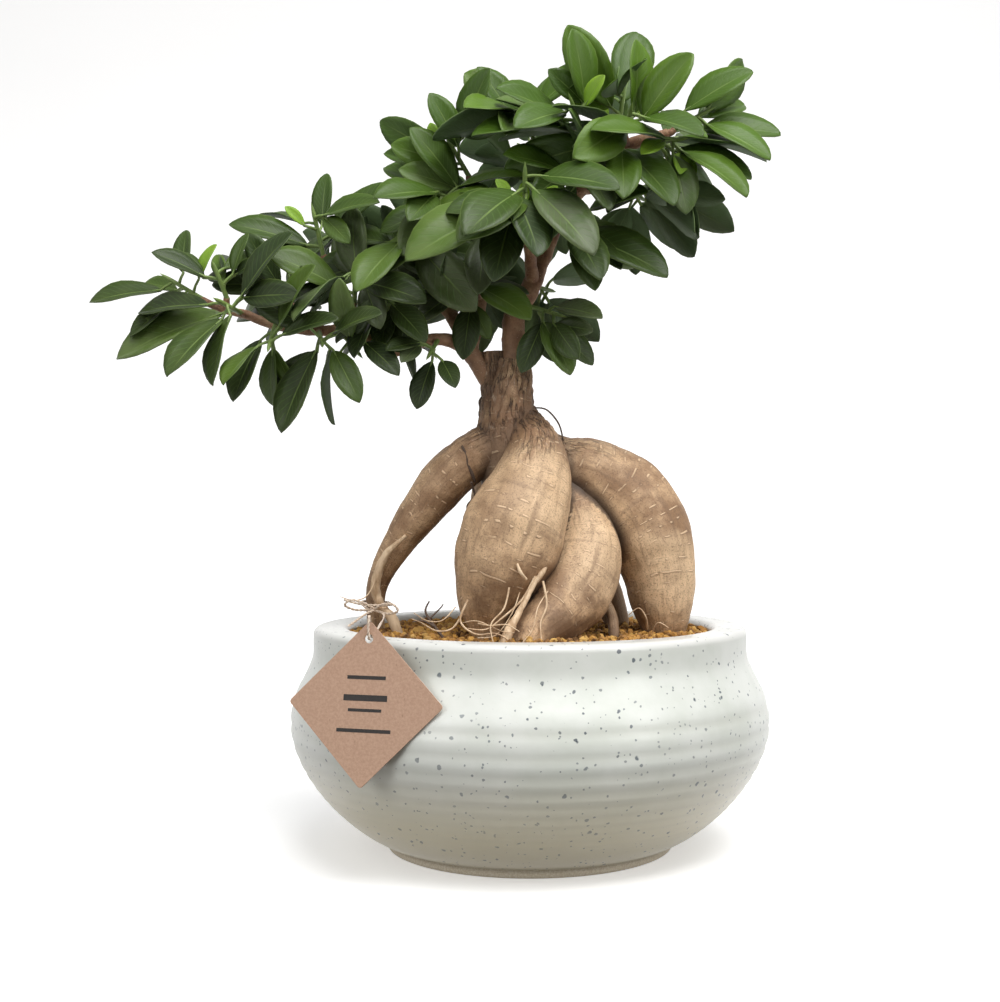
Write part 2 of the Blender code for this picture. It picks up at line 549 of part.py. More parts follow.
class Shoot:
    """One green stem with its leaves. The stem is five-sided, and each leaf grows out of one face of it."""

    SIDES = 5

    def __init__(self, name, base, direction, leaves, wood):
        self.name, self.leaves = name, leaves
        self.axis = Vector(direction).normalized()
        self.length = SHOOT_BASE + INTERNODE * len(leaves)
        self.side = self.axis.orthogonal().normalized()
        self.other = self.axis.cross(self.side)
        self.base = grown(base)
        while self.stem_tree(1.3).overlap(wood):
            self.base += self.axis * GAP
        beyond = (self.base.x - CROWN_AXIS_X * MM * ACROSS) / CROWN_HALF_WIDTH
        self.outward = Vector((0.5 * beyond, 1 if self.base.y > CROWN_BACK_Y * MM * ACROSS else -1, 0)).normalized()
        self.placed = []

    def rows(self):
        """How far along the stem each ring of points is."""
        return [0] + [SHOOT_BASE + INTERNODE * i for i in range(len(self.leaves) + 1)]

    def ring(self, far, swell=1.0):
        angles = [2 * math.pi * k / self.SIDES for k in range(self.SIDES)]
        return [self.base + self.axis * far + SHOOT_RADIUS * swell
                * (math.cos(a) * self.side + math.sin(a) * self.other) for a in angles]

    def stem_tree(self, swell):
        rows = [self.ring(-GAP * (swell > 1), swell), self.ring(self.length, swell)]
        tip = self.base + self.axis * (self.length + BUD)
        n = self.SIDES
        faces = [(k, (k + 1) % n, n + (k + 1) % n, n + k) for k in range(n)] + [tuple(range(n))]
        faces += [(n + k, n + (k + 1) % n, 2 * n) for k in range(n)]
        return BVHTree.FromPolygons(rows[0] + rows[1] + [tip], faces)

    def place_leaf(self, index, taken):
        """Turns a leaf little by little from its drawn direction until it clears everything placed so far."""
        clock, toward, drawn_length = self.leaves[index]
        middle = self.base + self.axis * (SHOOT_BASE + INTERNODE * (index + 0.5))
        own_stem = self.stem_tree(1.2)
        for attempt in range(LEAF_TRIES):
            shrunk = 1 - max(0, attempt / LEAF_TRIES - 0.3)
            length = drawn_length * MM * LEAF_SIZE * shrunk
            swing, turn = SWING_PER_TRY * math.sqrt(attempt), math.radians(TURN_BETWEEN_TRIES * attempt)
            frame = leaf_frame(clock + swing * math.cos(turn), toward + swing * math.sin(turn), self.outward,
                               2 * swing * math.sin(1.7 * attempt))
            face = self.free_face(frame[0])
            out = self.face_normal(face)
            root = middle + out * SHOOT_RADIUS
            rings, tip = leaf_rings(root, out, frame, length + LEAF_CLEARANCE, LEAF_THICK)
            air = frame[1] * LEAF_CLEARANCE
            fat = blade_tree(rings, tip, air, petiole=(out + frame[0]).normalized() * PETIOLE)
            bare = blade_tree(rings, tip, air)
            if not bare.overlap(own_stem) and not any(fat.overlap(other) for other in taken):
                self.placed.append((face, leaf_rings(root, out, frame, length, LEAF_THICK)))
                return fat
        raise ValueError(f"no room for leaf {index} of {self.name}")

    def free_face(self, along):
        """The stem face that looks most the way the leaf goes, other than the one just used."""
        last = self.placed[-1][0] if self.placed else None
        faces = [k for k in range(self.SIDES) if k != last]
        return max(faces, key=lambda k: self.face_normal(k).dot(along))

    def face_normal(self, face):
        angle = 2 * math.pi * (face + 0.5) / self.SIDES
        return math.cos(angle) * self.side + math.sin(angle) * self.other

    def mesh(self):
        points, faces, n = [], [], self.SIDES
        rows = [self.ring(far) for far in self.rows()]
        for row in rows:
            points += row
        points.append(self.base + self.axis * (self.length + BUD))
        for i in range(len(rows) - 1):
            grows = self.placed[i - 1] if i > 0 else None
            for k in range(n):
                corners = [i * n + k, i * n + (k + 1) % n, (i + 1) * n + (k + 1) % n, (i + 1) * n + k]
                if grows and grows[0] == k:
                    faces += self.leaf_faces(points, corners, *grows[1])
                else:
                    faces.append(corners)
        faces.append(list(reversed(range(n))))
        top = (len(rows) - 1) * n
        faces += [(top + k, top + (k + 1) % n, len(rows) * n) for k in range(n)]
        return mesh_from(self.name, points, faces)

    @staticmethod
    def leaf_faces(points, corners, rings, tip):
        """The faces of a leaf that grows from a stem face with these corners. Its points join the list."""
        first = len(points)
        shift = min(range(3), key=lambda s: sum((points[c] - rings[0][(k + s) % 3]).length
                                                for k, c in enumerate(corners[:3])))
        for ring in rings:
            points += ring[shift:] + ring[:shift]
        points.append(tip)
        a, b, c, d = corners
        faces = [(a, b, first + 1, first), (b, c, first + 2, first + 1), (c, d, first, first + 2), (d, a, first)]
        rows = [range(first + 3 * i, first + 3 * i + 3) for i in range(len(rings))]
        for low, high in zip(rows, rows[1:]):
            faces += ring_faces(low, high)
        return faces + [(rows[-1][k], rows[-1][(k + 1) % 3], len(points) - 1) for k in range(3)]


def make_shoots(finish, wood):
    """Every shoot, with no leaf touching another, a stem or the wood."""
    wood_trees = [surface_tree(obj) for obj in wood]
    points, faces = [], []
    for obj in wood:
        faces += [tuple(i + len(points) for i in p.vertices) for p in obj.data.polygons]
        points += [v.co.copy() for v in obj.data.vertices]
    all_wood = BVHTree.FromPolygons(points, faces)
    shoots = [Shoot("shoot_" + name, *drawn, all_wood) for name, drawn in SHOOTS.items()]
    blades = []
    for shoot in shoots:
        others = [s.stem_tree(1.5) for s in shoots if s is not shoot]
        for index in range(len(shoot.leaves)):
            blades.append(shoot.place_leaf(index, wood_trees + others + blades))
    made = []
    for shoot in shoots:
        obj = add_object(shoot.name, shoot.mesh(), finish)
        obj.data.shade_smooth()
        made.append(obj)
    return made


# ---- Tag ----

def make_tag(finish, bowl):
    """A square card that hangs by one corner and leans on the bowl."""
    bm = bmesh.new()
    bmesh.ops.create_cube(bm, size=1)
    bmesh.ops.scale(bm, verts=bm.verts, vec=(TAG_SIDE, TAG_THICK, TAG_SIDE))
    bmesh.ops.rotate(bm, verts=bm.verts, matrix=Matrix.Rotation(math.radians(45), 3, "Y"))
    mesh = bpy.data.meshes.new("tag")
    bm.to_mesh(mesh)
    bm.free()
    tag = add_object("tag", mesh, finish)
    bm = bmesh.new()
    bmesh.ops.create_cone(bm, cap_ends=True, segments=HOLE_SIDES, radius1=TAG_HOLE_RADIUS, radius2=TAG_HOLE_RADIUS,
                          depth=6 * TAG_THICK, matrix=Matrix.Rotation(math.radians(90), 4, "X"))
    bmesh.ops.translate(bm, verts=bm.verts, vec=(0, 0, TAG_SIDE / math.sqrt(2) - TAG_HOLE_INSET))
    punch = bpy.data.meshes.new("punch")
    bm.to_mesh(punch)
    bm.free()
    cut(tag, add_object("punch", punch, helper=True))
    turn = Matrix.Rotation(TAG_TURN, 4, "Z") @ Matrix.Rotation(-TAG_LEAN, 4, "X")
    out = turn @ Vector((0, -1, 0))
    hole = Vector((0, 0, TAG_SIDE / math.sqrt(2) - TAG_HOLE_INSET))
    place = Vector((TAG_HOLE_X, TAG_HOLE_Y, RIM_HEIGHT - TAG_HOLE_BELOW_RIM)) - turn @ hole
    wall = surface_tree(bowl)
    while True:
        moved = Matrix.Translation(place) @ turn
        corners = [moved @ v.co for v in tag.data.vertices]
        card = BVHTree.FromPolygons(corners, [tuple(p.vertices) for p in tag.data.polygons])
        if not card.overlap(wall):
            break
        place += out * GAP
    moved = Matrix.Translation(out * GAP) @ moved
    tag.data.transform(moved)
    up = moved.to_3x3() @ Vector((0, 0, 1))
    return tag, moved @ hole, out, up


def make_twine(finish, hole, out, up):
    """The twine: tied round the left root's foot, over the rim and through the tag's hole."""
    loop = [grown(p) for p in TWINE_LOOP]
    over = RIM_HEIGHT + TWINE_RADIUS + 2 * GAP
    knot = loop[-1]
    rim = [Vector((*knot.lerp(hole, share).xy, over + lift)) for share, lift in TWINE_OVER_RIM]
    edge = hole + up * (TAG_HOLE_INSET + 1.5 * MM)
    through = [edge + out * 1.2 * MM, hole + up * 3.5 * MM + out * 1.6 * MM]
    through += [hole + out * 0.3 * MM, hole - out * 0.7 * MM]
    data = bpy.data.curves.new("tag_twine", "CURVE")
    data.dimensions = "3D"
    data.bevel_depth = TWINE_RADIUS
    data.bevel_resolution = 2
    data.use_fill_caps = True
    route = smooth_route([*loop, *rim, *through])
    spline = data.splines.new("POLY")
    spline.points.add(len(route) - 1)
    for point, place in zip(spline.points, route):
        point.co = (*place, 1)
    obj = bpy.data.objects.new("tag_twine", data)
    bpy.context.scene.collection.objects.link(obj)
    data.materials.append(finish)
    return obj


def smooth_route(points, per_span=2):
    """Places along a Catmull-Rom curve through the points."""
    ends = [points[0], *points, points[-1]]
    made = []
    for a, b, c, d in zip(ends, ends[1:], ends[2:], ends[3:]):
        for i in range(per_span):
            t = i / per_span
            made.append(0.5 * (2 * b + (c - a) * t + (2 * a - 5 * b + 4 * c - d) * t * t
                               + (3 * b - a - 3 * c + d) * t ** 3))
    return [*made, points[-1]]


def stand_on_centre(objects):
    """Hangs every solid on one empty, moved so that the origin is below the middle of the whole object's box."""
    bpy.context.view_layer.update()
    corners = [obj.matrix_world @ Vector(c) for obj in objects for c in obj.bound_box]
    low = Vector(map(min, *corners))
    high = Vector(map(max, *corners))
    stand = bpy.data.objects.new("stand", None)
    bpy.context.scene.collection.objects.link(stand)
    for obj in objects:
        obj.parent = stand
    stand.location = (-(low.x + high.x) / 2, -(low.y + high.y) / 2, -low.z)


def main():
    clear_scene()
    glaze = material("speckled_glaze", (0.74, 0.77, 0.73), 0.25)
    plastic = material("black_plastic", (0.03, 0.03, 0.03), 0.6)
    clay = material("fired_clay_soil", (0.42, 0.20, 0.07), 0.95)
    bark = material("bark", (0.48, 0.35, 0.23), 0.8)
    pale_bark = material("pale_root", (0.72, 0.56, 0.36), 0.75)
    green = material("leaf_green", (0.05, 0.15, 0.03), 0.4)
    card = material("kraft_card", (0.62, 0.40, 0.26), 0.9)
    fibre = material("twine", (0.72, 0.56, 0.44), 0.9)

    bowl = make_bowl(glaze)
    drain = make_drain_mesh(plastic)
    root_paths = [smooth_path(p) for p in (TRUNK, STUB, *ROOTS.values())]
    rootstock = wooden("rootstock", root_paths, ROOT_SIDES, ROOT_VOXEL, ROOT_KEEP, bark)
    graft = swollen(rootstock, GAP)
    aerial = [cut(add_object(name, mesh_from(name, *tube(smooth_path(path, 2), AERIAL_SIDES)), pale_bark), graft)
              for name, path in AERIAL_ROOTS.items()]
    stems = make_stems(bark, rootstock)
    shoots = make_shoots(green, [rootstock, *stems])
    soil = make_soil(clay, [rootstock, *aerial])
    tag, hole, out, up = make_tag(card, bowl)
    twine = make_twine(fibre, hole, out, up)
    stand_on_centre([bowl, drain, soil, rootstock, *aerial, *stems, *shoots, tag, twine])


main()
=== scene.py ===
# %% [markdown]
# # A grafted ginseng fig in a speckled stoneware bowl
# The real object is a small indoor bonsai. Swollen roots stand above the soil like legs, a short neck joins
# them, and two leafy stems are grafted on top. This lesson dresses the solid CAD model of it: every visible
# thing is either built again with more detail or given a procedural finish.

import json
import math
import random

import bmesh
import bpy
from mathutils import Matrix, Vector, noise
from mathutils.kdtree import KDTree

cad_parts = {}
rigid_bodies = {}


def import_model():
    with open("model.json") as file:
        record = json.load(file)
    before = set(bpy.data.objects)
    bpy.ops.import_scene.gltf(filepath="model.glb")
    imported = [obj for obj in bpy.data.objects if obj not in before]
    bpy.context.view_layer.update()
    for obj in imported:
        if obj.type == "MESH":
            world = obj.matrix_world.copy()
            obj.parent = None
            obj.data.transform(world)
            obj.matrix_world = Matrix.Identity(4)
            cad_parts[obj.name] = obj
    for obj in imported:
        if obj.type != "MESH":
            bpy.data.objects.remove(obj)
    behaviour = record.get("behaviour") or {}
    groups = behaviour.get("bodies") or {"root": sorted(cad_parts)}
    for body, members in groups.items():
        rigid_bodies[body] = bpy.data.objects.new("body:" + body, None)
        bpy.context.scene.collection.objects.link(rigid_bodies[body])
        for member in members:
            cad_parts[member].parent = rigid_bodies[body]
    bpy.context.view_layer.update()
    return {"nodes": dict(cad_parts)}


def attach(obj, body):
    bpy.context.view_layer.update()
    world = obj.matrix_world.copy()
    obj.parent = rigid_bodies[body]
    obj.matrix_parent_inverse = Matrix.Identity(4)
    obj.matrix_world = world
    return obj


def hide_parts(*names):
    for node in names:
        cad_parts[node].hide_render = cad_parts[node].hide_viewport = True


for leftover in list(bpy.data.objects):
    bpy.data.objects.remove(leftover)
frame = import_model()
MM = 0.001
ROOT = "root"  # the object has no joints, so everything rides on one body

# %% [markdown]
# ## The camera
# The bonsai was seen from its own height, level, from about 60 cm. A lens shift slides the picture sideways
# without turning the camera, so that the bowl's rim stays a level ellipse.

# %% The camera
BOWL_X = 39.05 * MM  # the bowl's axis, in the frame
SOIL_Z = 87 * MM
camera = bpy.data.objects.new("camera", bpy.data.cameras.new("camera"))
bpy.context.scene.collection.objects.link(camera)
camera.location = (BOWL_X, -600 * MM, 142.3 * MM)
camera.rotation_euler = (math.radians(90), 0, 0)
camera.data.lens = 51.7
camera.data.sensor_width = 36
camera.data.shift_x = -0.03
bpy.context.scene.camera = camera
print("camera at", [round(x, 3) for x in camera.location])

# %% [markdown]
# ## Two helpers for node trees
# A finish and a generated shape are both node trees. `Tree` adds one node at a time, settings first and then
# sockets, and `Value` wraps a socket so that sums on it can be written as sums in Python.

# %% Node trees as Python sums
class Value:
    """A socket's output, on which + - * / and a few named sums add Math nodes."""

    def __init__(self, tree, socket):
        self.tree, self.socket = tree, socket

    def maths(self, operation, *others, clamp=False):
        values = dict(enumerate((self, *others)))
        return self.tree.add("ShaderNodeMath", {"operation": operation, "use_clamp": clamp}, values)

    def __add__(self, other):
        return self.maths("ADD", other)

    def __sub__(self, other):
        return self.maths("SUBTRACT", other)

    def __mul__(self, other):
        return self.maths("MULTIPLY", other)

    def __truediv__(self, other):
        return self.maths("DIVIDE", other)

    def __rsub__(self, other):
        return self.tree.number(other).maths("SUBTRACT", self)

    __radd__ = __add__
    __rmul__ = __mul__

    def __pow__(self, other):
        return self.maths("POWER", other)

    def __abs__(self):
        return self.maths("ABSOLUTE")

    def sin(self):
        return self.maths("SINE")

    def clamped(self):
        return self.maths("ADD", 0.0, clamp=True)

    def rise(self, low, high):
        """0 below low, 1 above high and smooth between. With low above high it falls instead."""
        settings = {"interpolation_type": "SMOOTHSTEP"}
        if low > high:
            return self.tree.add("ShaderNodeMapRange", settings, {0: self, 1: high, 2: low, 3: 1.0, 4: 0.0})
        return self.tree.add("ShaderNodeMapRange", settings, {0: self, 1: low, 2: high, 3: 0.0, 4: 1.0})


class Tree:
    """A node tree that grows one node at a time."""

    def __init__(self, tree):
        self.nodes, self.links = tree.nodes, tree.links

    def add(self, kind, settings=None, values=None, out=0):
        node = self.nodes.new(kind)
        for name, setting in (settings or {}).items():
            if name == "stops":
                while len(node.color_ramp.elements) < len(setting):
                    node.color_ramp.elements.new(1)
                for element, (place, colour) in zip(node.color_ramp.elements, setting):
                    element.position, element.color = place, (*colour, 1)
            else:
                setattr(node, name, setting)
        for key, value in (values or {}).items():
            self.put(node.inputs[key], value)
        return Value(self, node.outputs[out])

    def put(self, socket, value):
        if isinstance(value, Value):
            self.links.new(value.socket, socket)
        elif isinstance(value, tuple) and socket.type == "RGBA":
            socket.default_value = (*value[:3], 1)
        else:
            socket.default_value = value

    def number(self, value):
        made = self.add("ShaderNodeValue")
        made.socket.default_value = value
        return made


class Finish(Tree):
    """A material with the nodes that most finishes here use."""

    def __init__(self, name, roughness=0.5, **constants):
        self.material = bpy.data.materials.new(name)
        self.material.use_nodes = True
        super().__init__(self.material.node_tree)
        self.shader = self.nodes["Principled BSDF"]
        self.shader.inputs["Roughness"].default_value = roughness
        for socket, value in constants.items():
            self.shader.inputs[socket.replace("_", " ").title().replace("Ior", "IOR")].default_value = value
        self.place = self.add("ShaderNodeTexCoord", out="Object")

    def feed(self, **values):
        for name, value in values.items():
            self.put(self.shader.inputs[name.replace("_", " ").title()], value)

    def part(self, axis, vector=None):
        return self.add("ShaderNodeSeparateXYZ", None, {0: vector or self.place}, out=axis)

    def attribute(self, name, out="Fac"):
        return self.add("ShaderNodeAttribute", {"attribute_name": name}, out=out)

    def mapped(self, scale=(1, 1, 1), move=(0, 0, 0), vector=None):
        return self.add("ShaderNodeMapping", None, {0: vector or self.place, 1: move, 3: scale})

    def noise(self, scale, detail=3.0, rough=0.55, vector=None, twist=0.0, out=0):
        return self.add("ShaderNodeTexNoise", None, {"Vector": vector or self.place, "Scale": scale,
                                                     "Detail": detail, "Roughness": rough, "Distortion": twist}, out)

    def cells(self, scale, vector=None, out=0):
        return self.add("ShaderNodeTexVoronoi", None, {"Vector": vector or self.place, "Scale": scale}, out)

    def mix(self, share, first, second):
        return self.add("ShaderNodeMix", {"data_type": "RGBA"}, {0: share, 6: first, 7: second}, 2)

    def layered(self, colour, *layers):
        """The colour with others laid over it in turn. Each layer is (share, colour)."""
        for share, tint in layers:
            colour = self.mix(share, colour, tint)
        return colour

    def ramp(self, share, *stops):
        return self.add("ShaderNodeValToRGB", {"stops": stops}, {0: share})

    def bump(self, *layers):
        """Bumps laid over each other. Each layer is (height, depth, strength)."""
        under = {}
        for height, depth, strength in layers:
            values = {"Strength": strength, "Distance": depth, "Height": height, **under}
            under = {"Normal": self.add("ShaderNodeBump", None, values)}
        return under["Normal"]


class Shape(Tree):
    """A Geometry Nodes tree with named inputs that ends in Realize Instances and Set Material."""

    SOCKETS = {float: "NodeSocketFloat", int: "NodeSocketInt", bpy.types.Material: "NodeSocketMaterial",
               bpy.types.Object: "NodeSocketObject", bpy.types.Collection: "NodeSocketCollection"}

    def __init__(self, name, **inputs):
        self.group = bpy.data.node_groups.new(name, "GeometryNodeTree")
        super().__init__(self.group)
        self.inputs, self.names = dict(inputs), {}
        self.group.interface.new_socket("Geometry", in_out="OUTPUT", socket_type="NodeSocketGeometry")
        self.group.interface.new_socket("Geometry", in_out="INPUT", socket_type="NodeSocketGeometry")
        for key, value in inputs.items():
            kind = next(k for k in self.SOCKETS if isinstance(value, k))
            made = self.group.interface.new_socket(key.replace("_", " ").capitalize(), in_out="INPUT",
                                                   socket_type=self.SOCKETS[kind])
            self.names[key] = made.identifier
        self.entry = self.nodes.new("NodeGroupInput")
        self.geometry = Value(self, self.entry.outputs[0])

    def input(self, key):
        return Value(self, self.entry.outputs[1 + list(self.names).index(key)])

    def named(self, name, kind="FLOAT"):
        return self.add("GeometryNodeInputNamedAttribute", {"data_type": kind}, {0: name})

    def marked(self, geometry, name, value):
        settings = {"data_type": "FLOAT", "domain": "POINT"}
        return self.add("GeometryNodeStoreNamedAttribute", settings, {0: geometry, 2: name, 3: value})

    def tubes(self, sides):
        """The mesh's lines as tubes of the radius stored on their points."""
        curve = self.add("GeometryNodeMeshToCurve", None, {0: self.geometry})
        ring = self.add("GeometryNodeCurvePrimitiveCircle", {"mode": "RADIUS"}, {0: sides, 4: 1.0})
        return self.add("GeometryNodeCurveToMesh", None, {0: curve, 1: ring, 2: self.named("thick"), 3: True})

    def end(self, geometry, material, *others):
        """Closes the tree. Each other is (where, material), laid over the first material."""
        made = self.add("GeometryNodeRealizeInstances", None, {0: geometry})
        made = self.add("GeometryNodeSetShadeSmooth", None, {0: made, 2: True})
        made = self.add("GeometryNodeSetMaterial", None, {0: made, 2: material})
        for where, other in others:
            made = self.add("GeometryNodeSetMaterial", None, {0: made, 1: where, 2: other})
        self.links.new(made.socket, self.nodes.new("NodeGroupOutput").inputs[0])
        return self

    def make(self, name, mesh):
        """Runs the tree on a mesh and returns the result as an object with a plain mesh."""
        start = bpy.data.objects.new(name, mesh)
        bpy.context.scene.collection.objects.link(start)
        modifier = start.modifiers.new("shape", "NODES")
        modifier.node_group = self.group
        for key, value in self.inputs.items():
            modifier[self.names[key]] = value
        bpy.context.view_layer.update()
        made = bpy.data.meshes.new_from_object(start.evaluated_get(bpy.context.evaluated_depsgraph_get()))
        start.modifiers.clear()
        start.data = made
        made.name = name
        return start


# %% [markdown]
# A few mesh helpers. A CAD node arrives as loose triangles, so a copy is merged before it is worked on. Every
# finished piece rides on the one body and may stand for CAD nodes.

# %% Mesh helpers
def mesh_from(name, points, faces=(), edges=()):
    mesh = bpy.data.meshes.new(name)
    mesh.from_pydata([tuple(p) for p in points], list(edges), list(faces))
    mesh.update()
    return mesh


def merged_copy(node):
    bm = bmesh.new()
    bm.from_mesh(frame["nodes"][node].data)
    bmesh.ops.remove_doubles(bm, verts=bm.verts, dist=1e-6)
    return bm


def put_attribute(mesh, name, values, kind="FLOAT"):
    made = mesh.attributes.new(name, kind, "POINT")
    key = "vector" if kind == "FLOAT_VECTOR" else "value"
    made.data.foreach_set(key, [x for v in values for x in v] if kind == "FLOAT_VECTOR" else list(values))


def settle(piece, slot, *nodes):
    """The piece rides on the object and stands for CAD nodes; its slot is not used."""
    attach(piece, ROOT)
    if nodes:
        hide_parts(*nodes)
    print(piece.name, len(piece.data.polygons), "faces")
    return piece


def coat(mesh, material):
    mesh.materials.clear()
    mesh.materials.append(material)


def plain_object(name, mesh, material):
    obj = bpy.data.objects.new(name, mesh)
    bpy.context.scene.collection.objects.link(obj)
    coat(mesh, material)
    return obj


def faced_out(mesh):
    """The mesh with its faces turned outwards."""
    bm = bmesh.new()
    bm.from_mesh(mesh)
    bmesh.ops.recalc_face_normals(bm, faces=bm.faces)
    bm.to_mesh(mesh)
    bm.free()
    return mesh


def smooth_line(points, per_span=4):
    """Points along a Catmull-Rom curve through the given ones."""
    ends = [points[0], *points, points[-1]]
    made = []
    for a, b, c, d in zip(ends, ends[1:], ends[2:], ends[3:]):
        for i in range(per_span):
            t = i / per_span
            made.append(0.5 * (2 * b + (c - a) * t + (2 * a - 5 * b + 4 * c - d) * t * t
                               + (3 * b - a - 3 * c + d) * t ** 3))
    return [*made, points[-1]]


def grown(x, y, z):
    """A point given in millimetres from the bowl's axis and the soil, in the frame."""
    return Vector((BOWL_X + x * MM, y * MM, SOIL_Z + z * MM))


# %% [markdown]
# ## The twine
# A thin jute twine is tied round the foot of the left root, runs over the rim and holds the card tag. Its route
# is the CAD model's own. Real twine is two or three strands laid round each other, and a plain tube would look
# like wire, so two strands wind round the route here, and a fibrous finish covers them.

# %% The twine's route
TWINE_RADIUS = 0.55 * MM
TWINE_CLEARANCE = 0.8 * MM  # over the rim
RIM_Z = 91 * MM
TAG_HOLE_INSET = 6.5 * MM
TWINE_LOOP = [  # (x, y, z) in millimetres from the bowl's axis and the soil, from the cut end to the rim
    (-77, -4.5, 14.5), (-73, -6, 13.4), (-68.5, -6.9, 12.6), (-64.5, -7, 12.3), (-60, -6.4, 12.2),
    (-57.6, -2.5, 12.2), (-58.6, 3, 12.4), (-60.6, 8.6, 12.6), (-65, 10.6, 12.8), (-69.3, 8.6, 13), (-70.8, 4, 12.8),
    (-69.5, -1.5, 12), (-66.5, -6.4, 10.6), (-62.5, -8.4, 10), (-59.5, -13, 8.6),
]
card = merged_copy("tag")
middle = sum((v.co for v in card.verts), Vector()) / len(card.verts)
corners = sorted(card.verts, key=lambda v: (v.co - middle).length)[-8:]
tag_centre = sum((v.co for v in corners), Vector()) / len(corners)
round_hole = [v.co for v in card.verts if v not in corners]
tag_hole = sum(round_hole, Vector()) / len(round_hole)
tag_up = (tag_hole - tag_centre).normalized()
broad = max(card.faces, key=lambda f: f.calc_area() * (f.normal.y < 0))
tag_out = broad.normal.copy()
tag_out = (tag_out - tag_up * tag_out.dot(tag_up)).normalized()
tag_side = tag_up.cross(tag_out)
TAG_HALF = max((v.co - tag_centre).length for v in corners)
card.free()


def twine_route():
    loop = [grown(*p) for p in TWINE_LOOP]
    over = RIM_Z + TWINE_RADIUS + TWINE_CLEARANCE
    rim = [Vector((*loop[-1].lerp(tag_hole, share).xy, over + lift * MM))
           for share, lift in ((0.3, 1.2), (0.62, 0), (0.85, 0))]
    edge = tag_hole + tag_up * (TAG_HOLE_INSET + 1.5 * MM)
    through = [edge + tag_out * 1.2 * MM, tag_hole + tag_up * 3.5 * MM + tag_out * 1.6 * MM,
               tag_hole + tag_out * 0.3 * MM, tag_hole - tag_out * 0.7 * MM]
    return smooth_line([*loop, *rim, *through], 2)


route = twine_route()
twine_length = sum((b - a).length for a, b in zip(route, route[1:]))
print("twine", round(twine_length * 1000, 1), "mm, tag centre", [round(x * 1000, 1) for x in tag_centre])

# %% The twine's strands
STRAND_RADIUS = 0.3 * MM
TWIST_LENGTH = 3.4 * MM


def strand_points(line, turn, offset):
    """A fine line that winds round another, starting at an angle."""
    fine = smooth_line(line, 6)
    side, far, made = Vector((0.2, 0.3, 1)), 0.0, []
    for i, place in enumerate(fine):
        along = (fine[min(i + 1, len(fine) - 1)] - fine[max(i - 1, 0)]).normalized()
        side = (side - along * side.dot(along)).normalized()
        if i:
            far += (place - fine[i - 1]).length
        angle = turn + 2 * math.pi * far / TWIST_LENGTH
        made.append(place + offset * (math.cos(angle) * side + math.sin(angle) * along.cross(side)))
    return made


def lines_mesh(name, lines):
    """A mesh of edges only, with a radius at each point. Each line is (points, radius or radii)."""
    points, edges, radii = [], [], []
    for line, radius in lines:
        edges += [(len(points) + i, len(points) + i + 1) for i in range(len(line) - 1)]
        points += line
        radii += radius if isinstance(radius, list) else [radius] * len(line)
    mesh = mesh_from(name, points, edges=edges)
    put_attribute(mesh, "thick", radii)
    return mesh


def tube_shape(name, material, sides):
    """Geometry Nodes that turn lines into tubes of the radius stored on their points."""
    shape = Shape(name, sides=sides, material=material)
    return shape.end(shape.tubes(shape.input("sides")), shape.input("material"))


# %% The twine's finish
jute = Finish("jute twine", roughness=0.95, sheen_weight=0.3)
fibres = jute.noise(2600, 4, 0.6, jute.mapped((1, 1, 0.4)))
jute.feed(base_color=jute.mix(fibres.rise(0.3, 0.75), (0.58, 0.44, 0.33), (0.90, 0.78, 0.64)),
          normal=jute.bump((fibres, 0.12 * MM, 0.8)))
twine_tubes = tube_shape("twine strands", jute.material, 7)

# %% Lay the twine
offset = TWINE_RADIUS - STRAND_RADIUS
winds = [(strand_points(route, math.pi * k, offset), STRAND_RADIUS) for k in range(2)]
twine = twine_tubes.make("twine", lines_mesh("twine", winds))
settle(twine, "twine", "tag_twine")
bow_lines = [
    [(-64, -8, 10.8), (-68, -11, 13.5), (-73, -12, 14.8), (-76, -10, 12.6), (-72, -8.5, 10.6), (-66, -8, 10.4)],
    [(-64, -8, 10.8), (-60, -12, 13.2), (-55.5, -14.5, 13), (-54, -14, 10.4), (-58, -11.5, 9.2), (-63.5, -8.4, 10.2)],
    [(-64, -8.4, 10.4), (-67, -11.5, 9.2), (-71, -15, 6.4), (-73.5, -17.5, 4.6)],
]
bow_routes = [smooth_line([grown(*p) for p in line]) for line in bow_lines]
bow_winds = [(strand_points(line, math.pi * k, offset), STRAND_RADIUS) for line in bow_routes for k in range(2)]
bow = twine_tubes.make("twine_bow", lines_mesh("twine_bow", bow_winds))
settle(bow, "twine")

# %% [markdown]
# ## The bowl
# A potter throws such a bowl on a wheel, so its whole shape is one section turned round an axis, and the fingers
# leave faint rings in the wall. It could be a Screw modifier. A Geometry Nodes lathe is used here, because the
# rings and the slight unevenness can then be worked into every point by rule: a grid is wrapped round the axis,
# each row taking its place from the section.

# %% The bowl's section
BELLY_RADIUS, BELLY_Z = 98.6 * MM, 51 * MM
RIM_RADIUS, RIM_BAND, RIM_ROUND = 89.3 * MM, 9 * MM, 3 * MM
MOUTH_RADIUS = 75 * MM
FOOT_RADIUS, FOOT_HEIGHT, FOOT_RING, FOOT_RECESS = 59 * MM, 3.5 * MM, 8 * MM, 2.5 * MM
WALL = 7 * MM
DRAIN_RADIUS = 9 * MM
FLOOR_Z = FOOT_RECESS + 7 * MM


def steps(first, last, count):
    return [first + (last - first) * i / (count - 1) for i in range(count)]


def lower_wall(z):
    down = min(max((BELLY_Z - z) / (BELLY_Z - FOOT_HEIGHT), 0), 1)
    return FOOT_RADIUS + (BELLY_RADIUS - FOOT_RADIUS) * (1 - down ** 1.7) ** 0.75


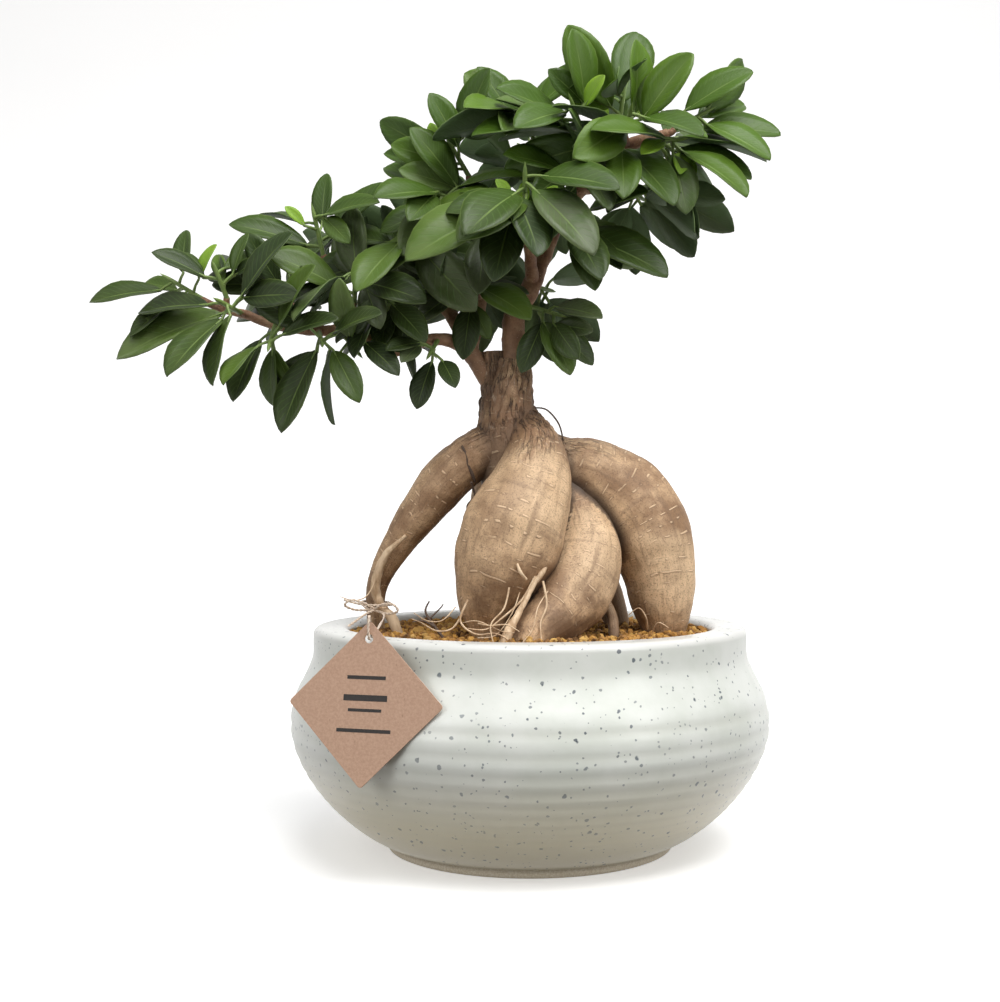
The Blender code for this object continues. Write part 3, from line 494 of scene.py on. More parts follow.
def upper_wall(z):
    up = min(max((z - BELLY_Z) / (RIM_Z - RIM_BAND - BELLY_Z), 0), 1)
    return RIM_RADIUS + (BELLY_RADIUS - RIM_RADIUS) * (1 + math.cos(math.pi * up ** 1.3)) / 2


def arc(radius, centre_r, centre_z, first, last, count):
    return [(centre_r + radius * math.cos(math.radians(a)), centre_z + radius * math.sin(math.radians(a)))
            for a in steps(first, last, count)]


def bowl_section():
    """(radius, height) round the bowl's wall: under the foot, up outside, over the lip, down inside."""
    foot = [(DRAIN_RADIUS, FOOT_RECESS), (35 * MM, FOOT_RECESS), (FOOT_RADIUS - FOOT_RING, FOOT_RECESS),
            (FOOT_RADIUS - FOOT_RING + 0.8 * MM, 0.2 * MM), (FOOT_RADIUS - FOOT_RING + 1.5 * MM, 0),
            (FOOT_RADIUS - 1.2 * MM, 0), (FOOT_RADIUS - 0.3 * MM, 0.4 * MM), (FOOT_RADIUS - 0.1 * MM, 1.5 * MM)]
    low = [(lower_wall(z), z) for z in (FOOT_HEIGHT + (BELLY_Z - FOOT_HEIGHT) * s ** 1.6 for s in steps(0, 1, 46))]
    high = [(upper_wall(z), z) for z in steps(BELLY_Z, RIM_Z - RIM_BAND, 26)[1:]]
    top = RIM_Z - RIM_ROUND
    band = [(RIM_RADIUS, z) for z in steps(RIM_Z - RIM_BAND, top, 6)[1:]]
    lip = arc(RIM_ROUND, RIM_RADIUS - RIM_ROUND, top, 8, 90, 8)
    lip += arc(RIM_ROUND, MOUTH_RADIUS + RIM_ROUND, top, 90, 180, 8)
    inside = [(MOUTH_RADIUS + 0.5 * MM, RIM_Z - RIM_BAND + 2 * MM)]
    inside += [(upper_wall(z) - WALL, z) for z in steps(RIM_Z - RIM_BAND - 2 * MM, BELLY_Z, 6)]
    inside += [(lower_wall(z) - WALL, z) for z in steps(BELLY_Z, FLOOR_Z + 3 * MM, 6)[1:]]
    inside += [(inside[-1][0] - 4 * MM, FLOOR_Z), (30 * MM, FLOOR_Z), (DRAIN_RADIUS, FLOOR_Z),
               (DRAIN_RADIUS, FOOT_RECESS)]
    return foot + low + high + band + lip + inside


section = bowl_section()
print("section", len(section), "points")


# %% The bowl's lathe
def lathe_shape(material, rows):
    shape = Shape("wheel thrown", sides=192, ring_depth=0.5 * MM, ring_share=0.147, top_ring=60 * MM,
                  wobble=0.35 * MM, axis_x=BOWL_X, material=material)
    grid = shape.add("GeometryNodeMeshGrid", None, {2: shape.input("sides"), 3: rows})
    index = shape.add("GeometryNodeInputIndex")
    row = index.maths("MODULO", float(rows))
    turn = ((index - row) / float(rows)) * (2 * math.pi) / (shape.input("sides") - 1.0)
    place = shape.add("GeometryNodeInputPosition")
    sampled = shape.add("GeometryNodeSampleIndex", {"data_type": "FLOAT_VECTOR"},
                        {0: shape.geometry, "Value": place, "Index": row})
    radius = shape.add("ShaderNodeSeparateXYZ", None, {0: sampled}, 0)
    height = shape.add("ShaderNodeSeparateXYZ", None, {0: sampled}, 2)
    # The rings are deepest on the belly and faint under the rim. The inside, the foot and the lip have none.
    outer = (radius - 50 * MM).rise(0, 20 * MM)
    span = height.rise(FOOT_HEIGHT + 4 * MM, 14 * MM) * (height.rise(66 * MM, 60 * MM) * 0.8 + 0.2) * outer
    span = span * height.rise(RIM_Z - RIM_BAND, 76 * MM)
    around = shape.add("ShaderNodeCombineXYZ", None, {0: turn.sin(), 1: turn.maths("COSINE"), 2: height * 6.0})
    drift = shape.add("ShaderNodeTexNoise", None, {"Vector": around, "Scale": 1.3, "Detail": 2.0}) - 0.5
    turns = (height / shape.input("top_ring")).maths("LOGARITHM", math.e) / shape.input("ring_share")
    groove = ((turns + drift * 0.5) * (2 * math.pi)).maths("COSINE") * 0.5 + 0.5
    groove = groove ** 1.8 * span * (0.75 + drift)
    moved = radius - shape.input("ring_depth") * groove + shape.input("wobble") * (drift - 0.2) * span
    spot = shape.add("ShaderNodeCombineXYZ", None,
                     {0: moved * turn.maths("COSINE") + shape.input("axis_x"), 1: moved * turn.sin(), 2: height})
    wrapped = shape.add("GeometryNodeSetPosition", None, {0: grid, 2: spot})
    closed = shape.add("GeometryNodeMergeByDistance", None, {0: shape.marked(wrapped, "groove", groove), 2: 0.01 * MM})
    return shape.end(closed, shape.input("material"))


# %% [markdown]
# The glaze is a pale celadon over an iron-bearing clay. Iron specks burn through it as dark dots, few of them
# over 2 mm. It is a little greyer in the grooves, partly where glaze pools and partly as painted shade, and it thins
# to warm beige towards the foot, where a bare band of clay shows, its cream painted lighter to stand in for light
# bounced up from the floor. Three sizes of cells with a random radius in each make the specks.

# %% The glaze
def speckles(finish, scale, share, largest, shift):
    """1 in a speck and 0 outside. share is how many cells have one, and largest its radius in cells."""
    warp = finish.noise(420, 2, 0.5, out=1)
    bent = finish.add("ShaderNodeVectorMath", {"operation": "MULTIPLY_ADD"},
                      {0: warp, 1: (0.0016, 0.0016, 0.0016), 2: finish.mapped(move=shift)})
    colour = finish.cells(scale, bent, out=1)
    chance = finish.part(0, colour)
    size = (chance - (1 - share)) / share
    radius = size.clamped() * largest
    return ((radius - finish.cells(scale, bent)) * 22.0).clamped(), finish.part(1, colour)


def make_glaze():
    glaze = Finish("speckled celadon glaze", coat_roughness=0.22, coat_ior=1.45)
    z, groove = glaze.part(2), glaze.attribute("groove")
    cloud = glaze.noise(28, 4, 0.6)
    # Painted shade: the glaze is greyer in the grooves, partly where glaze pools and partly shade painted into the
    # colour.
    body = glaze.layered(
        glaze.mix(cloud.rise(0.35, 0.68), (0.605, 0.63, 0.575), (0.70, 0.715, 0.675)),
        (groove * 0.28, (0.46, 0.46, 0.38)), (z.rise(50 * MM, 14 * MM), (0.98, 0.90, 0.66)),
        (z.rise(RIM_Z - 4 * MM, RIM_Z - 1 * MM) * 0.4, (0.66, 0.63, 0.63)))
    dense = glaze.noise(19, 2, 0.5, glaze.mapped(move=(0.3, 0.1, 0))).rise(0.3, 0.62) * 0.35 + 0.65
    dust, tint = speckles(glaze, 480, 0.5, 0.30, (0.11, 0.2, 0.3))
    small, _ = speckles(glaze, 250, 0.85, 0.23, (0.3, 0.7, 0.1))
    large, _ = speckles(glaze, 128, 0.9, 0.15, (0.5, 0.1, 0.7))
    dots = (dust * 0.7 + small * 0.85 + large).clamped() * dense
    ink = glaze.mix(tint, (0.02, 0.035, 0.055), (0.07, 0.10, 0.13))
    bare = z.rise(FOOT_HEIGHT + 0.9 * MM, FOOT_HEIGHT - 0.3 * MM)
    line = z.rise(FOOT_HEIGHT + 2.4 * MM, FOOT_HEIGHT + 0.8 * MM) * (1 - bare)
    sand = glaze.noise(1500, 3, 0.6)
    # Painted light: the bare clay of the foot is a lighter cream than its own, standing in for light bounced up from
    # the floor.
    clay = glaze.mix(sand.rise(0.35, 0.7), (0.78, 0.68, 0.52), (0.95, 0.87, 0.72))
    pits = glaze.noise(160, 3, 0.6)
    glaze.feed(base_color=glaze.layered(body, (dots, ink), (line * 0.45, (0.42, 0.35, 0.25)), (bare, clay)),
               roughness=bare * 0.4 + pits * 0.15 + 0.32, coat_weight=(1 - bare) * 0.35,
               normal=glaze.bump((pits, 0.22 * MM, 0.35), (dots, 0.05 * MM, 0.5), (sand * bare, 0.12 * MM, 0.6)))
    return glaze.material


profile = mesh_from("bowl section", [(r, 0, z) for r, z in section])
bowl = lathe_shape(make_glaze(), len(section)).make("bowl_glazed", profile)
settle(bowl, "glaze", "bowl")

# %% [markdown]
# ## Plastic mesh
# Under the soil a square of black mesh keeps it from washing out of the drain hole. Only its finish is added.

# %% The drain mesh
plastic = Finish("black mesh plastic", roughness=0.5)
grain = plastic.noise(900, 3)
plastic.feed(base_color=plastic.mix(grain, (0.015, 0.015, 0.016), (0.04, 0.04, 0.042)),
             roughness=grain * 0.2 + 0.42, normal=plastic.bump((grain, 0.05 * MM, 0.5)))
coat(frame["nodes"]["drain_mesh"].data, plastic.material)

# %% [markdown]
# ## Soil
# Bonsai soil is sieved baked clay: hard, angular grains of 2 to 4 mm, ochre to dark brown. Painting them on
# would leave the surface flat, so real grains are scattered over the CAD soil by Geometry Nodes, each a
# different squashed and turned copy of a few broken-looking lumps.

# %% The soil's finish
earth = Finish("baked clay soil", roughness=0.95)
tone = earth.attribute("tone")
dust = earth.noise(700, 4, 0.65)
grain_colour = earth.ramp(tone, (0.0, (0.09, 0.042, 0.010)), (0.2, (0.20, 0.09, 0.016)), (0.5, (0.36, 0.17, 0.026)),
                          (0.8, (0.48, 0.25, 0.045)), (1.0, (0.58, 0.36, 0.10)))
earth.feed(base_color=earth.mix(dust.rise(0.3, 0.75) * 0.45, grain_colour, (0.38, 0.21, 0.10)),
           normal=earth.bump((dust, 0.3 * MM, 0.8)))
bed = Finish("soil between grains", roughness=1.0)
clods = bed.cells(330, out=1)
bed.feed(base_color=bed.ramp(bed.part(0, clods), (0, (0.03, 0.015, 0.008)), (1, (0.16, 0.07, 0.028))),
         normal=bed.bump((bed.cells(330), 1.0 * MM, 0.8)))
coat(frame["nodes"]["potting_soil"].data, bed.material)


# %% Grains of baked clay
FULL_TURN = 6.28
LUMP_KINDS = 5
LUMP_CORNERS = 15
LUMP_TURN = 2.4  # spreads a lump's corners evenly round it


def broken_lump(seed):
    """A convex, angular stone about 2 across with a few dozen faces."""
    rng = random.Random(seed)
    bm = bmesh.new()
    for i in range(LUMP_CORNERS):
        up = 1 - 2 * (i + 0.5) / LUMP_CORNERS
        turn = LUMP_TURN * i
        flat = math.sqrt(1 - up * up)
        reach = rng.uniform(0.78, 1.12)
        bm.verts.new((reach * flat * math.cos(turn), reach * flat * math.sin(turn), reach * up * 0.8))
    hull = bmesh.ops.convex_hull(bm, input=bm.verts)
    bmesh.ops.delete(bm, geom=list({*hull["geom_interior"], *hull["geom_unused"]}), context="VERTS")
    bmesh.ops.recalc_face_normals(bm, faces=bm.faces)
    mesh = bpy.data.meshes.new("lump")
    bm.to_mesh(mesh)
    bm.free()
    return mesh


lumps = bpy.data.collections.new("lumps")
for seed in range(LUMP_KINDS):
    lumps.objects.link(bpy.data.objects.new(f"lump_{seed}", broken_lump(seed)))


def grains_shape(material):
    shape = Shape("scattered grains", spacing=2.2 * MM, most_dense=400000.0, smallest=1.1 * MM, largest=2.15 * MM,
                  seed=7, lumps=lumps, material=material)
    points = shape.add("GeometryNodeDistributePointsOnFaces", {"distribute_method": "POISSON"},
                       {0: shape.geometry, "Distance Min": shape.input("spacing"),
                        "Density Max": shape.input("most_dense"), "Density Factor": 1.0, "Seed": shape.input("seed")})

    def any_number(low, high, seed):
        return shape.add("FunctionNodeRandomValue", {"data_type": "FLOAT"}, {2: low, 3: high, "Seed": seed}, 1)

    def any_vector(low, high, seed):
        return shape.add("FunctionNodeRandomValue", {"data_type": "FLOAT_VECTOR"}, {0: low, 1: high, "Seed": seed})

    shapes = shape.add("GeometryNodeCollectionInfo", None, {0: shape.input("lumps"), 1: True, 2: True})
    turn = shape.add("FunctionNodeEulerToRotation", None, {0: any_vector((0, 0, 0), (FULL_TURN,) * 3, 11)})
    size = any_number(shape.input("smallest"), shape.input("largest"), 12)
    squash = any_vector((0.8, 0.8, 0.65), (1.15, 1.15, 1.1), 13)
    scale = shape.add("ShaderNodeVectorMath", {"operation": "SCALE"}, {0: squash, "Scale": size})
    lift = any_vector((0, 0, -0.4 * MM), (0, 0, 1.1 * MM), 15)
    raised = shape.add("GeometryNodeSetPosition", None, {0: points, 3: lift})
    toned = shape.marked(raised, "tone", any_number(0.0, 1.0, 14))
    laid = shape.add("GeometryNodeInstanceOnPoints", None, {0: toned, 2: shapes, 3: True, 5: turn, 6: scale})
    return shape.end(laid, shape.input("material"))


LEVEL_ENOUGH, SOIL_DIPS = 0.6, 2.5 * MM  # what counts as the soil's top
surface = merged_copy("potting_soil")
low = [f for f in surface.faces if f.normal.z < LEVEL_ENOUGH or f.calc_center_median().z < SOIL_Z - SOIL_DIPS]
bmesh.ops.delete(surface, geom=low, context="FACES")
top_mesh = bpy.data.meshes.new("soil top")
surface.to_mesh(top_mesh)
surface.free()
grains = grains_shape(earth.material).make("soil_grains", top_mesh)
grains.data.polygons.foreach_set("use_smooth", [False] * len(grains.data.polygons))
settle(grains, "soil")


# %% [markdown]
# ## Wood
# The rootstock is swollen and smooth-skinned, tan to grey-brown, with a fine grain along each root, rows of short
# pale lenticels across it and painted shade where roots press together. Remeshing the CAD solid would melt the roots
# into one lump, so each root, stem and twig is laid again as its own tube along the CAD model's routes. The tubes
# run into each other, which keeps the folds between them crisp. Each point stores a skin place, which is how far
# along and round the root it is, so that every bark pattern follows its root without a seam.

# %% The routes of roots and stems
# (x, y, z, radius) in millimetres from the bowl's axis and the soil, -y towards the front
TRUNK = {
    "neck": [(-7, 3, 52, 12), (-8, 2, 64, 13), (-9, 1, 76, 13.6), (-9.5, 1, 87, 12.6), (-9.5, 0, 97, 11.2),
             (-8.5, 0, 106, 9.6), (-7.5, 0, 114, 7.4)],
    "stub": [(-11, 1, 88, 8), (-14, 0, 100, 6.9), (-15.5, 0, 110, 5.8), (-16, 0, 117.5, 5.3)],
}
ROOTS = {
    "left": [(-9, 0, 79, 10.5), (-22, -1, 74.5, 10.4), (-34, -2, 65, 10.4), (-45.5, -1, 51, 8.8), (-56, 1, 36, 6.3),
             (-63.5, 3, 22, 4.6), (-65, 5, 10, 3.9), (-63.5, 5, -12, 3)],
    "front": [(-6, 4, 96, 6.5), (-3, 1.5, 86, 9.8), (2, -9, 74, 12.8), (0, -18, 60, 17.2), (-6, -24, 45, 20.6),
              (-11.5, -25, 30, 19.4), (-16, -24.5, 15, 13.5), (-16, -24, 3, 8), (-14, -25, -12, 4)],
    "crossing": [(2, 0, 74, 10), (12, 2, 62, 11), (20, -3, 48, 12.8), (22.5, -11, 34, 15), (19, -19, 21, 15.2),
                 (10, -28, 10, 12.6), (1, -36, 2, 8.6), (-6, -42, -12, 4)],
    "right": [(-2, 2, 78, 10), (12, 4, 70.5, 12.6), (27, 5, 64.5, 16.8), (40.5, 5, 55, 18.9), (49, 4, 41, 18),
              (53.5, 3, 27, 15.6), (55, 2, 13, 13), (56, 2, 2, 9.4), (57, 2, -12, 5)],
    "rear": [(-6, 8, 78, 11), (0, 20, 66, 12), (10, 30, 50, 12), (22, 36, 32, 11), (32, 36, 16, 8.5),
             (38, 34, 3, 5.5), (40, 33, -12, 3.5)],
    "rear_left": [(-10, 8, 76, 9), (-15, 20, 66, 9), (-18, 33, 50, 8.5), (-19, 43, 30, 7), (-18, 48, 12, 5),
                  (-16, 49, -12, 3)],
    "small": [(24, -12, 22, 2), (30, -10, 15, 2.2), (33.5, -12, 8, 2.2), (34, -16, 1, 2.2), (33, -18, -6, 1.5)],
}
STEMS = {
    "left": [
        [(-11, 0, 92, 5), (-15, 0, 102, 4.6), (-20, -1, 110, 4), (-27, -3, 119, 3.5), (-36, -6, 122, 2.7),
         (-46, -8, 120.5, 2.5), (-56, -9, 117, 2.5), (-65, -9, 121, 2.5), (-73, -8, 127, 2.4), (-83, -7, 125.5, 2.3),
         (-95, -8, 126, 2.1), (-107, -9, 128, 1.9), (-117, -9, 132, 1.8), (-126, -8, 134, 1.6), (-135, -8, 138, 1.5)],
        [(-27, -3, 119, 3.4), (-31, 2, 130, 3), (-38, 6, 140, 2.6), (-44, 6, 149, 2.2), (-49, 4, 156, 1.7)],
        [(-25, -1, 117, 3.4), (-22, 6, 134, 3), (-20, 9, 150, 2.7), (-22, 8, 164, 2.4), (-24, 5, 176, 2),
         (-25, 3, 187, 1.6)],
        [(-73, -8, 127, 2.2), (-79, -2, 140, 1.9), (-84, 2, 154, 1.6)]],
    "right": [
        [(-7, 0, 96, 7), (-6.5, 0, 105, 6.4), (-6, 0, 114, 5.7), (-7, 0, 124, 4.9), (-6, 0, 134, 4.5),
         (0, 1, 144, 4.2), (4, 3, 154, 3.6), (9, 4, 167, 3.5), (16, 4, 181, 3.6), (25, 2, 190, 3.5),
         (32, 0, 199, 3.2), (43, -2, 204, 2.6), (51, -3, 206, 2.2), (57, -3, 208, 1.8)],
        [(1, 1, 146, 3), (0, -9, 156, 2.4), (-2, -19, 164, 1.8)],
        [(27, 1, 193, 2.8), (32, 4, 200, 2.3), (35, 5, 206, 1.8)],
        [(13, 4, 175, 2.8), (8, 6, 186, 2.4), (3, 5, 195, 2), (0, 3, 202, 1.6)],
        [(20, 3, 186, 2.6), (31, 10, 188, 2.2), (42, 12, 189, 1.8)],
        [(5, 3, 157, 2.8), (6, 16, 168, 2.4), (8, 28, 180, 1.9)]],
}
NECK_Z = SOIL_Z + 76 * MM
SKIN_RADIUS = 12 * MM  # every skin place lies on a tube this thick, so that patterns keep their size
FOLD_REACH = 7.5 * MM  # how far the painted shade in a fold reaches
NEAREST = 14  # how many route points are asked which tube they belong to


# %% Tubes with a skin
def wood_line(points, per_span):
    """(place, radius) along the curve through drawn points."""
    fine = smooth_line([Vector((*grown(x, y, z), r * MM)) for x, y, z, r in points], per_span)
    return [(Vector(p[:3]), p[3]) for p in fine]


def skin_tube(line, sides, relief):
    """(points, faces, skin places) of a closed tube, pushed in and out by relief(place, skin, radius)."""
    points, faces, skins = [], [], []
    side, far = Vector((1, 0.31, 0.17)), 0.0
    for i, (place, radius) in enumerate(line):
        along = (line[min(i + 1, len(line) - 1)][0] - line[max(i - 1, 0)][0]).normalized()
        side = (side - along * side.dot(along)).normalized()
        other = along.cross(side)
        far += (place - line[i - 1][0]).length if i else 0
        for k in range(sides):
            angle = 2 * math.pi * k / sides
            out = math.cos(angle) * side + math.sin(angle) * other
            skin = Vector((SKIN_RADIUS * math.cos(angle), SKIN_RADIUS * math.sin(angle), far))
            points.append(place + out * (radius + relief(place + out * radius, skin, radius)))
            skins.append(skin)
    for i in range(len(line) - 1):
        for k in range(sides):
            a, b = i * sides + k, i * sides + (k + 1) % sides
            faces.append((a, b, b + sides, a + sides))
    for ring, where in ((range(sides), 0), (range(len(line) * sides - sides, len(line) * sides), -1)):
        points.append(line[where][0].copy())
        skins.append(Vector((0, 0, skins[ring[0]].z)))
        for k in range(sides):
            corners = (ring[k], ring[(k + 1) % sides], len(points) - 1)
            faces.append(corners if where else corners[::-1])
    return points, faces, skins


def wood_piece(name, lines, sides, relief, material):
    """One piece of several tubes, with how near each point is to another tube stored as its fold."""
    points, faces, skins, owner = [], [], [], []
    for number, line in enumerate(lines):
        more, more_faces, more_skins = skin_tube(line, sides, relief)
        faces += [tuple(i + len(points) for i in f) for f in more_faces]
        points += more
        skins += more_skins
        owner += [number] * len(more)
    samples = [(place, radius, number) for number, line in enumerate(lines) for place, radius in line[::2]]
    tree = KDTree(len(samples))
    for i, (place, _, _) in enumerate(samples):
        tree.insert(place, i)
    tree.balance()
    folds = []
    for point, mine in zip(points, owner):
        gap = FOLD_REACH
        for _, i, distance in tree.find_n(point, NEAREST):
            if samples[i][2] != mine:
                gap = min(gap, distance - samples[i][1])
        folds.append(1 - max(gap, 0) / FOLD_REACH)
    mesh = mesh_from(name, points, faces)
    put_attribute(mesh, "fold", folds)
    put_attribute(mesh, "skin", skins, "FLOAT_VECTOR")
    mesh.shade_smooth()
    return plain_object(name, mesh, material)


def root_relief(place, skin, radius):
    """Swellings, ripples across the root and fine grain along it. The neck is knobbly and cracked."""
    neck = min(max((place.z - NECK_Z) / (12 * MM), 0), 1)
    swell = noise.fractal(place * 45, 0.9, 2.0, 3) * 0.055 * radius
    ripple = noise.noise(Vector((skin.x * 50, skin.y * 50, skin.z * 520))) * 0.13 * MM
    grain = noise.noise(Vector((skin.x * 420, skin.y * 420, skin.z * 70))) * 0.12 * MM
    knobs = noise.fractal(place * 190, 0.8, 2.1, 3) * 0.95 * MM * neck
    plates = abs(noise.noise(Vector((skin.x * 330, skin.y * 330, skin.z * 90)))) * -1.6 * MM * neck
    return swell + ripple + grain + knobs + plates


# %% [markdown]
# The bark is painted in skin places. Grain is noise stretched along the root, lenticels are dashes along thin
# rows across it, and painted shade in the folds and the rough dark neck are laid over both.

# %% The bark's finish
LENTICEL_ROWS = 4.6 * MM  # from one row to the next


def make_root_bark():
    bark = Finish("smooth root bark", roughness=0.72)
    skin = bark.attribute("skin", "Vector")
    z, fold = bark.part(2), bark.attribute("fold")
    grain = bark.noise(460, 5, 0.62, bark.mapped((1, 1, 0.16), vector=skin), twist=0.5)
    patches = bark.noise(52, 4, 0.62)
    worn = bark.noise(26, 3, 0.5, bark.mapped(move=(0.4, 0.1, 0.2))).rise(0.42, 0.6)
    # Painted highlight: pale patches, partly weathered skin, grow stronger towards the lit right side.
    painted_light_right = bark.part(0).rise(BOWL_X - 25 * MM, BOWL_X + 25 * MM) * 0.5 + 0.25
    fleck = bark.noise(1500, 3, 0.7)
    wander = bark.noise(45, 2, 0.5, bark.mapped(vector=skin)) * 11 * MM
    bands = ((bark.part(2, skin) + wander) * (2 * math.pi / LENTICEL_ROWS)).sin()
    dashes = bark.noise(370, 1, 0.5, bark.mapped((1, 1, 0.7), (0.2, 0.4, 0.1), skin))
    present = bark.noise(70, 2, 0.5, bark.mapped(vector=skin)).rise(0.36, 0.5)
    lenticels = bands.rise(0.86, 0.97) * dashes.rise(0.52, 0.58) * present
    shade = bands.rise(0.45, 0.8) * dashes.rise(0.47, 0.54) * present
    rings = bark.noise(330, 3, 0.6, bark.mapped((0.16, 0.16, 1.0), vector=skin))
    neck = (z + (patches - 0.5) * 40 * MM).rise(NECK_Z - 6 * MM, NECK_Z + 8 * MM)
    rough = bark.noise(330, 6, 0.72, bark.mapped((1, 1, 0.5), vector=skin))
    cracks = bark.noise(330, 3, 0.6, bark.mapped((1, 1, 0.22), vector=skin))
    crack = abs(cracks - 0.5).rise(0.05, 0.0) * neck
    # Painted shade: dark patches on the roots near the soil.
    low = z.rise(SOIL_Z + 36 * MM, SOIL_Z + 2 * MM)
    # Painted shade: the folds where roots press together are darkened, less strongly above the neck.
    fold_shade_share = z.rise(NECK_Z + 4 * MM, NECK_Z - 14 * MM) * 0.45 + 0.45
    colour = bark.layered(
        bark.mix(patches.rise(0.38, 0.62), (0.30, 0.175, 0.09), (0.64, 0.43, 0.25)),
        (worn * painted_light_right * 0.8, (0.80, 0.58, 0.36)),
        (grain.rise(0.44, 0.72) * 0.55, (0.19, 0.11, 0.062)),
        (fleck.rise(0.50, 0.66) * 0.6, (0.15, 0.085, 0.047)),
        (shade * 0.3, (0.17, 0.10, 0.055)),
        (lenticels * 0.75, (0.84, 0.60, 0.38)),
        (rings.rise(0.57, 0.70) * 0.3, (0.17, 0.10, 0.06)),
        (neck * rough.rise(0.36, 0.60) * 0.8, (0.30, 0.16, 0.085)),
        (neck * rough.rise(0.56, 0.70) * 0.8, (0.62, 0.47, 0.34)),
        (crack * rough.rise(0.58, 0.42) * 0.9, (0.05, 0.027, 0.016)),
        (low * patches.rise(0.64, 0.42) * 0.75, (0.15, 0.085, 0.045)),
        (fold.rise(0.2, 1.0) * fold_shade_share, (0.055, 0.032, 0.02)))
    relief = bark.bump((grain, 0.45 * MM, 0.6), (rings, 0.3 * MM, 0.5), (lenticels, 0.3 * MM, 0.8),
                       (rough * neck - crack, 0.9 * MM, 0.9), (fleck, 0.12 * MM, 0.6))
    bark.feed(base_color=colour, roughness=grain * 0.25 + 0.5, normal=relief)
    return bark.material


ROOT_SPANS, ROOT_SIDES = 14, 84
root_lines = [wood_line(points, ROOT_SPANS) for points in (*ROOTS.values(), *TRUNK.values())]
rootstock = wood_piece("rootstock_bark", root_lines, ROOT_SIDES, root_relief, make_root_bark())
settle(rootstock, "bark", "rootstock")


# %% The grafted stems
TWIG_RADIUS = 1.5 * MM


def knobbly(fineness, share):
    """A relief of small knobs, as a share of the tube's radius."""
    return lambda place, skin, radius: noise.fractal(place * fineness, 0.8, 2.1, 3) * share * radius


def make_stem_bark():
    bark = Finish("red brown stem bark", roughness=0.7)
    skin = bark.attribute("skin", "Vector")
    patches = bark.noise(150, 4, 0.65)
    low = bark.part(2).rise(SOIL_Z + 150 * MM, SOIL_Z + 105 * MM)
    dots = bark.cells(620, bark.mapped((0.8, 0.8, 1.3), vector=skin)).rise(0.24, 0.10)
    fine = bark.noise(800, 4, 0.65)
    colour = bark.layered(
        bark.ramp(patches, (0.3, (0.15, 0.068, 0.034)), (0.5, (0.31, 0.155, 0.08)), (0.7, (0.48, 0.30, 0.17))),
        (low * 0.5, (0.36, 0.22, 0.13)),
        (dots * bark.noise(160, 2).rise(0.42, 0.56) * 0.8, (0.62, 0.47, 0.32)),
        (fine.rise(0.55, 0.75) * 0.5, (0.07, 0.035, 0.02)))
    bark.feed(base_color=colour, roughness=fine * 0.25 + 0.5,
              normal=bark.bump((dots, 0.25 * MM, 0.7), (fine, 0.3 * MM, 0.7)))
    return bark.material


def nearest_on(lines, place):
    return min((step for line in lines for step in line), key=lambda step: (step[0] - place).length)


def twig_line(lines, base):
    """A short woody twig from the nearest branch to where a shoot starts."""
    foot, radius = nearest_on(lines, base)
    thick = min(radius, TWIG_RADIUS)
    sag = Vector((0, 0, -0.6 * MM))
    ends = [Vector((*foot, thick)), Vector((*(foot.lerp(base, 0.5) + sag), thick)), Vector((*base, thick * 0.85))]
    return [(Vector(p[:3]), p[3]) for p in smooth_line(ends, 5)]


# %% [markdown]
# ## Young pale roots
# Thin new roots run down the left root and over the front bulb, fine rootlets hang from it, and dead, dark ones
# lie on the soil and hang from the wood. The two thick ones are in the CAD and are laid like the wood. The rest
# are lines with a radius at each point, made tubes by the same Geometry Nodes as the twine's strands.

# %% The pale roots
pale_finish = Finish("pale young root", roughness=0.6)
skin_noise = pale_finish.noise(300, 4, 0.6, pale_finish.mapped((1, 1, 0.3)))
pale_finish.feed(base_color=pale_finish.mix(skin_noise.rise(0.35, 0.7), (0.74, 0.56, 0.37), (0.42, 0.27, 0.15)),
                 normal=pale_finish.bump((skin_noise, 0.2 * MM, 0.6)))
AERIAL_ROOTS = {
    "aerial_root_left": [(-51, -9.5, 41, 0.7), (-56, -8.6, 36.5, 1.2), (-60, -7.5, 32, 1.7), (-64, -4.5, 21, 2.0),
                         (-62, -3.2, 12, 1.9), (-57, -4, 6, 2.2), (-52, -5, -6, 1.4)],
    "aerial_root_front": [(4, -38, 27, 0.6), (1.6, -39.5, 23, 0.9), (-1, -41.5, 18, 1.0), (-5, -44, 11, 1.4),
                          (-9, -47.5, 3, 2.1), (-12, -50, -8, 1.5)],
}


for node, points in AERIAL_ROOTS.items():
    pale = wood_piece(node + "_skin", [wood_line(points, 8)], 20, knobbly(420, 0.2), pale_finish.material)
    settle(pale, "pale_root", node)


def thin_lines(name, lines, material, sides, share=1.0):
    """One piece of thin tubes along drawn lines, their radii times share."""
    drawn = []
    for line in lines:
        fine = wood_line(line, 5)
        drawn.append(([place for place, _ in fine], [share * radius for _, radius in fine]))
    return tube_shape(name, material, sides).make(name, lines_mesh(name, drawn))


